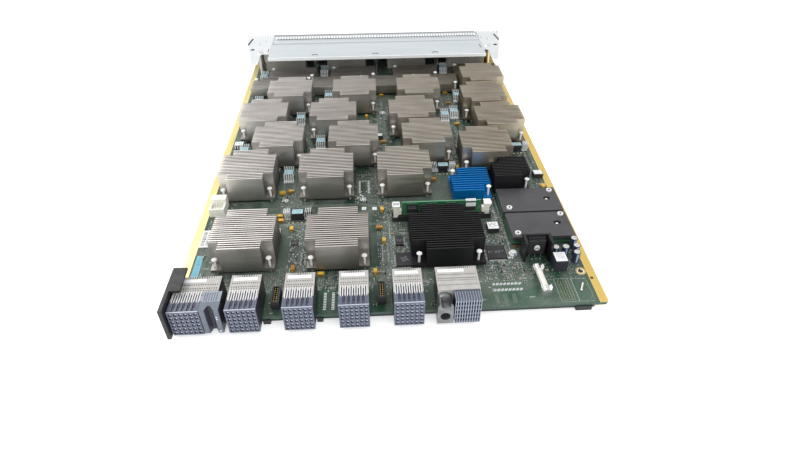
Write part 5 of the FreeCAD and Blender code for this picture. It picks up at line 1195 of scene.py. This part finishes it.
# painted shade in the screw slot
pw.box(133.2, 136.6, 57.6, 57.7, 11.15, 11.65, HOLE_SHADE, rot=0)
# ring of the large tooling hole, the edge hole and the tilted post
pw.lathe((170.5, 38.0, 0), [(4.6, 0.02), (4.6, 0.14), (2.5, 0.14), (2.4, 0.02)], GOLD, 30)
pw.lathe((170.5, 38.0, 0), [(2.9, 0.15), (2.9, 0.22), (2.4, 0.22), (2.35, 0.03)], WHITE_AND_EDGE_HIGHLIGHT, 30)
# dark brown discs of painted shade in the large tooling hole and the edge hole
pw.lathe((170.5, 38.0, 0), [(2.3, 0.03), (0.0, 0.03)], HOLE_SHADE_BROWN, 20)
pw.lathe((177.8, 29.2, 0), [(1.5, 0.03), (0.0, 0.03)], HOLE_SHADE_BROWN, 16)
pw.tube((164.2, 15.4, 0.6), (166.9, 21.4, 2.2), 0.85, 0.85, BRIGHT, 14)
pw.tube((164.0, 15.0, 0.1), (164.2, 15.6, 1.2), 1.4, 1.1, BRIGHT, 14)
# ground screw with a blue-white washer
pw.lathe((115.6, 64.6, 0), [(3.9, 0.02), (3.9, 0.5), (3.3, 0.7)], LABEL, 20)
for a in range(4):
    t = math.radians(90 * a + 20)
    pw.lathe((115.6 + 3.0 * math.cos(t), 64.6 + 3.0 * math.sin(t), 0), [(0.9, 0.5), (0.9, 1.2), (0.0, 1.3)], BLUE_DOT if a % 2 else LABEL, 10)
pw.box(108.4, 114.6, 58.0, 60.4, 0.02, 0.2, TIN, 0.05)
# countersinks of the converter screws, painted as dark discs of shade
for b in islands("board_screws"):
    sx_, sy_ = (b[0] + b[1]) / 2, (b[2] + b[3]) / 2
    if b[5] > 8.0:
        pw.lathe((sx_, sy_, 0), [(1.05, b[5] + 0.01), (1.0, b[5] + 0.03), (0.0, b[5] + 0.03)], HOLE_SHADE, 16)
# pins seen through the converter eyes
for x, y in ((164.5, 135.5), (164.3, 96.0)):
    pw.lathe((x, y, 0), [(1.5, 3.8), (1.5, 8.2), (1.1, 8.7), (0.0, 8.8)], CREAM_W, 16)
# printed scale along the left of the converters, terminals in front
for k in range(40):
    pw.box(113.9, 115.2, 78.0 + 1.9 * k, 78.7 + 1.9 * k, 0.01, 0.06, SILK)
for k in range(5):
    pw.box(118.5 + 2.2 * k, 119.9 + 2.2 * k, 72.6, 74.9, 0.05, 1.6, COPPER if k < 3 else TIN, 0.1)
pw.box(168.0, 175.6, 169.0, 174.0, 0.05, 1.6, TANT_T, 0.2)
pw.make("power_details", slot="board_green")

# ------------------------------------------------------------ shelf over the ports
top = Build()
# painted highlight along the shelf's front edge
top.box(-150.6, 156.8, 448.02, 449.4, 36.82, 36.95, WHITE_AND_EDGE_HIGHLIGHT, 0.05)
# slots in the shelf, painted as dark arcs of shade
for x, y, r_ in ((-86.0, 457.6, 4.6), (-0.4, 457.6, 4.6), (85.3, 457.6, 4.6)):
    pts_o, pts_i = [], []
    for k in range(13):
        a = math.radians(20 + 140 * k / 12)
        pts_o.append((x + r_ * math.cos(a), y - 2.2 + r_ * math.sin(a)))
        pts_i.append((x + (r_ - 1.5) * math.cos(a), y - 2.2 + (r_ - 1.5) * math.sin(a)))
    for k in range(12):
        top.prism([pts_o[k], pts_o[k + 1], pts_i[k + 1], pts_i[k]], 36.78, 36.9, HOLE_SHADE)
# painted shade lines along the bend between the shelf and the finger strip
top.box(-150.8, 157.0, 500.2, 501.6, 36.62, 36.86, GAP_SHADE)
top.box(-150.8, 157.0, 506.0, 506.6, 35.62, 35.72, GAP_SHADE)
# fingers of the strip, with painted shade in the gaps between them and in the row of holes
n = 74
for i in range(n):
    x = -146.4 + 299.0 * i / (n - 1)
    top.box(x - 1.25, x + 1.25, 522.0, 530.2, 36.9, 37.06, WHITE_AND_EDGE_HIGHLIGHT, 0.05)
    top.box(x + 1.3, x + 2.6, 521.0, 523.6, 36.86, 37.0, GAP_SHADE)
    if i < n - 1:
        top.box(x + 1.6, x + 2.45, 524.2, 530.0, 36.92, 36.99, GAP_SHADE)
    top.box(x - 0.5, x + 0.5, 533.0, 534.6, 37.0, 37.12, GAP_SHADE)
for s in (-1, 1):
    # end fingers, with painted shade in the gaps
    for i in range(9):
        x = s * (155.6 + 3.9 * i)
        top.box(x - 1.2, x + 1.2, 533.0, 537.6, 36.8, 36.96, WHITE_AND_EDGE_HIGHLIGHT, 0.05)
        top.box(x + 1.5, x + 2.3, 533.0, 537.6, 36.8, 36.86, GAP_SHADE)
    # holes and slots at the shelf ends, painted as dark shade
    top.lathe((176.6 * s, 482.0, 0), [(2.9, 36.83), (0.0, 36.83)], HOLE_SHADE, 20)
    top.box(*sorted((153.0 * s, 154.0 * s)), 472.0, 484.0, 36.8, 36.9, HOLE_SHADE)
    for dx, dy in ((169.0, 505.0), (160.5, 512.0)):
        top.lathe((dx * s, dy, 0), [(1.0, 36.81), (0.0, 36.81)], HOLE_SHADE, 12)
    pr = [(183.6 * s, 525.4), (187.0 * s, 500.4), (184.6 * s, 500.0), (181.2 * s, 525.0)]
    top.prism(pr, 36.8, 36.9, HOLE_SHADE)
top.make("shelf_details", slot="zinc_steel")

# ---------------------------------------------------------------- the setting
def area(name, loc, target, size, power, color=(1, 1, 1)):
    d = bpy.data.lights.new(name, "AREA")
    d.shape = "RECTANGLE"
    d.size, d.size_y = size
    d.energy = power
    d.color = color
    o = bpy.data.objects.new(name, d)
    bpy.context.scene.collection.objects.link(o)
    o.location = loc
    o.rotation_euler = (Vector(target) - Vector(loc)).to_track_quat("-Z", "Y").to_euler()
    return o


world = bpy.data.worlds.new("studio")
bpy.context.scene.world = world
world.use_nodes = True
bg = [n for n in world.node_tree.nodes if n.type == "BACKGROUND"][0]
bg.inputs["Color"].default_value = (1.0, 1.0, 1.0, 1.0)
bg.inputs["Strength"].default_value = 0.92

area("window_left", (-1.5, 0.9, 1.5), (0, 0.05, 0), (1.6, 1.6), 26, (1.0, 0.99, 0.97))
area("soft_front", (0.5, -1.6, 1.5), (0, 0, 0), (1.6, 1.2), 11, (0.97, 0.99, 1.0))

me = bpy.data.meshes.new("floor")
R = 8.0
me.from_pydata([(-R, -R, 0), (R, -R, 0), (R, R, 0), (-R, R, 0)], [], [(0, 1, 2, 3)])
floor = bpy.data.objects.new("floor", me)
bpy.context.scene.collection.objects.link(floor)
fm = Mat("floor_paper")
fm.set(spec=0.1, emit=(1.0, 1.0, 1.0), emit_s=0.42)
me.materials.append(fm.out(fm.ramp(fm.noise(3, 2), [(0.3, (0.93, 0.93, 0.93)), (0.7, (0.96, 0.96, 0.96))]),
                           fm.ramp(fm.noise(5, 2), [(0.3, 0.85), (0.7, 0.95)])))

cam_d = bpy.data.cameras.new("camera")
cam_d.lens = 24.876
cam_d.sensor_width = 36.0
cam_d.clip_start = 0.01
cam_d.clip_end = 50.0
cam = bpy.data.objects.new("camera", cam_d)
bpy.context.scene.collection.objects.link(cam)
cam.location = W(-10.623, -308.828, 339.842)
cam.rotation_euler = Euler((math.radians(90 - 38.824), 0.0, math.radians(-3.392)), "XYZ")
bpy.context.scene.camera = cam

sc = bpy.context.scene
sc.view_settings.view_transform = "Standard"
sc.view_settings.look = "None"
sc.view_settings.exposure = 0.0
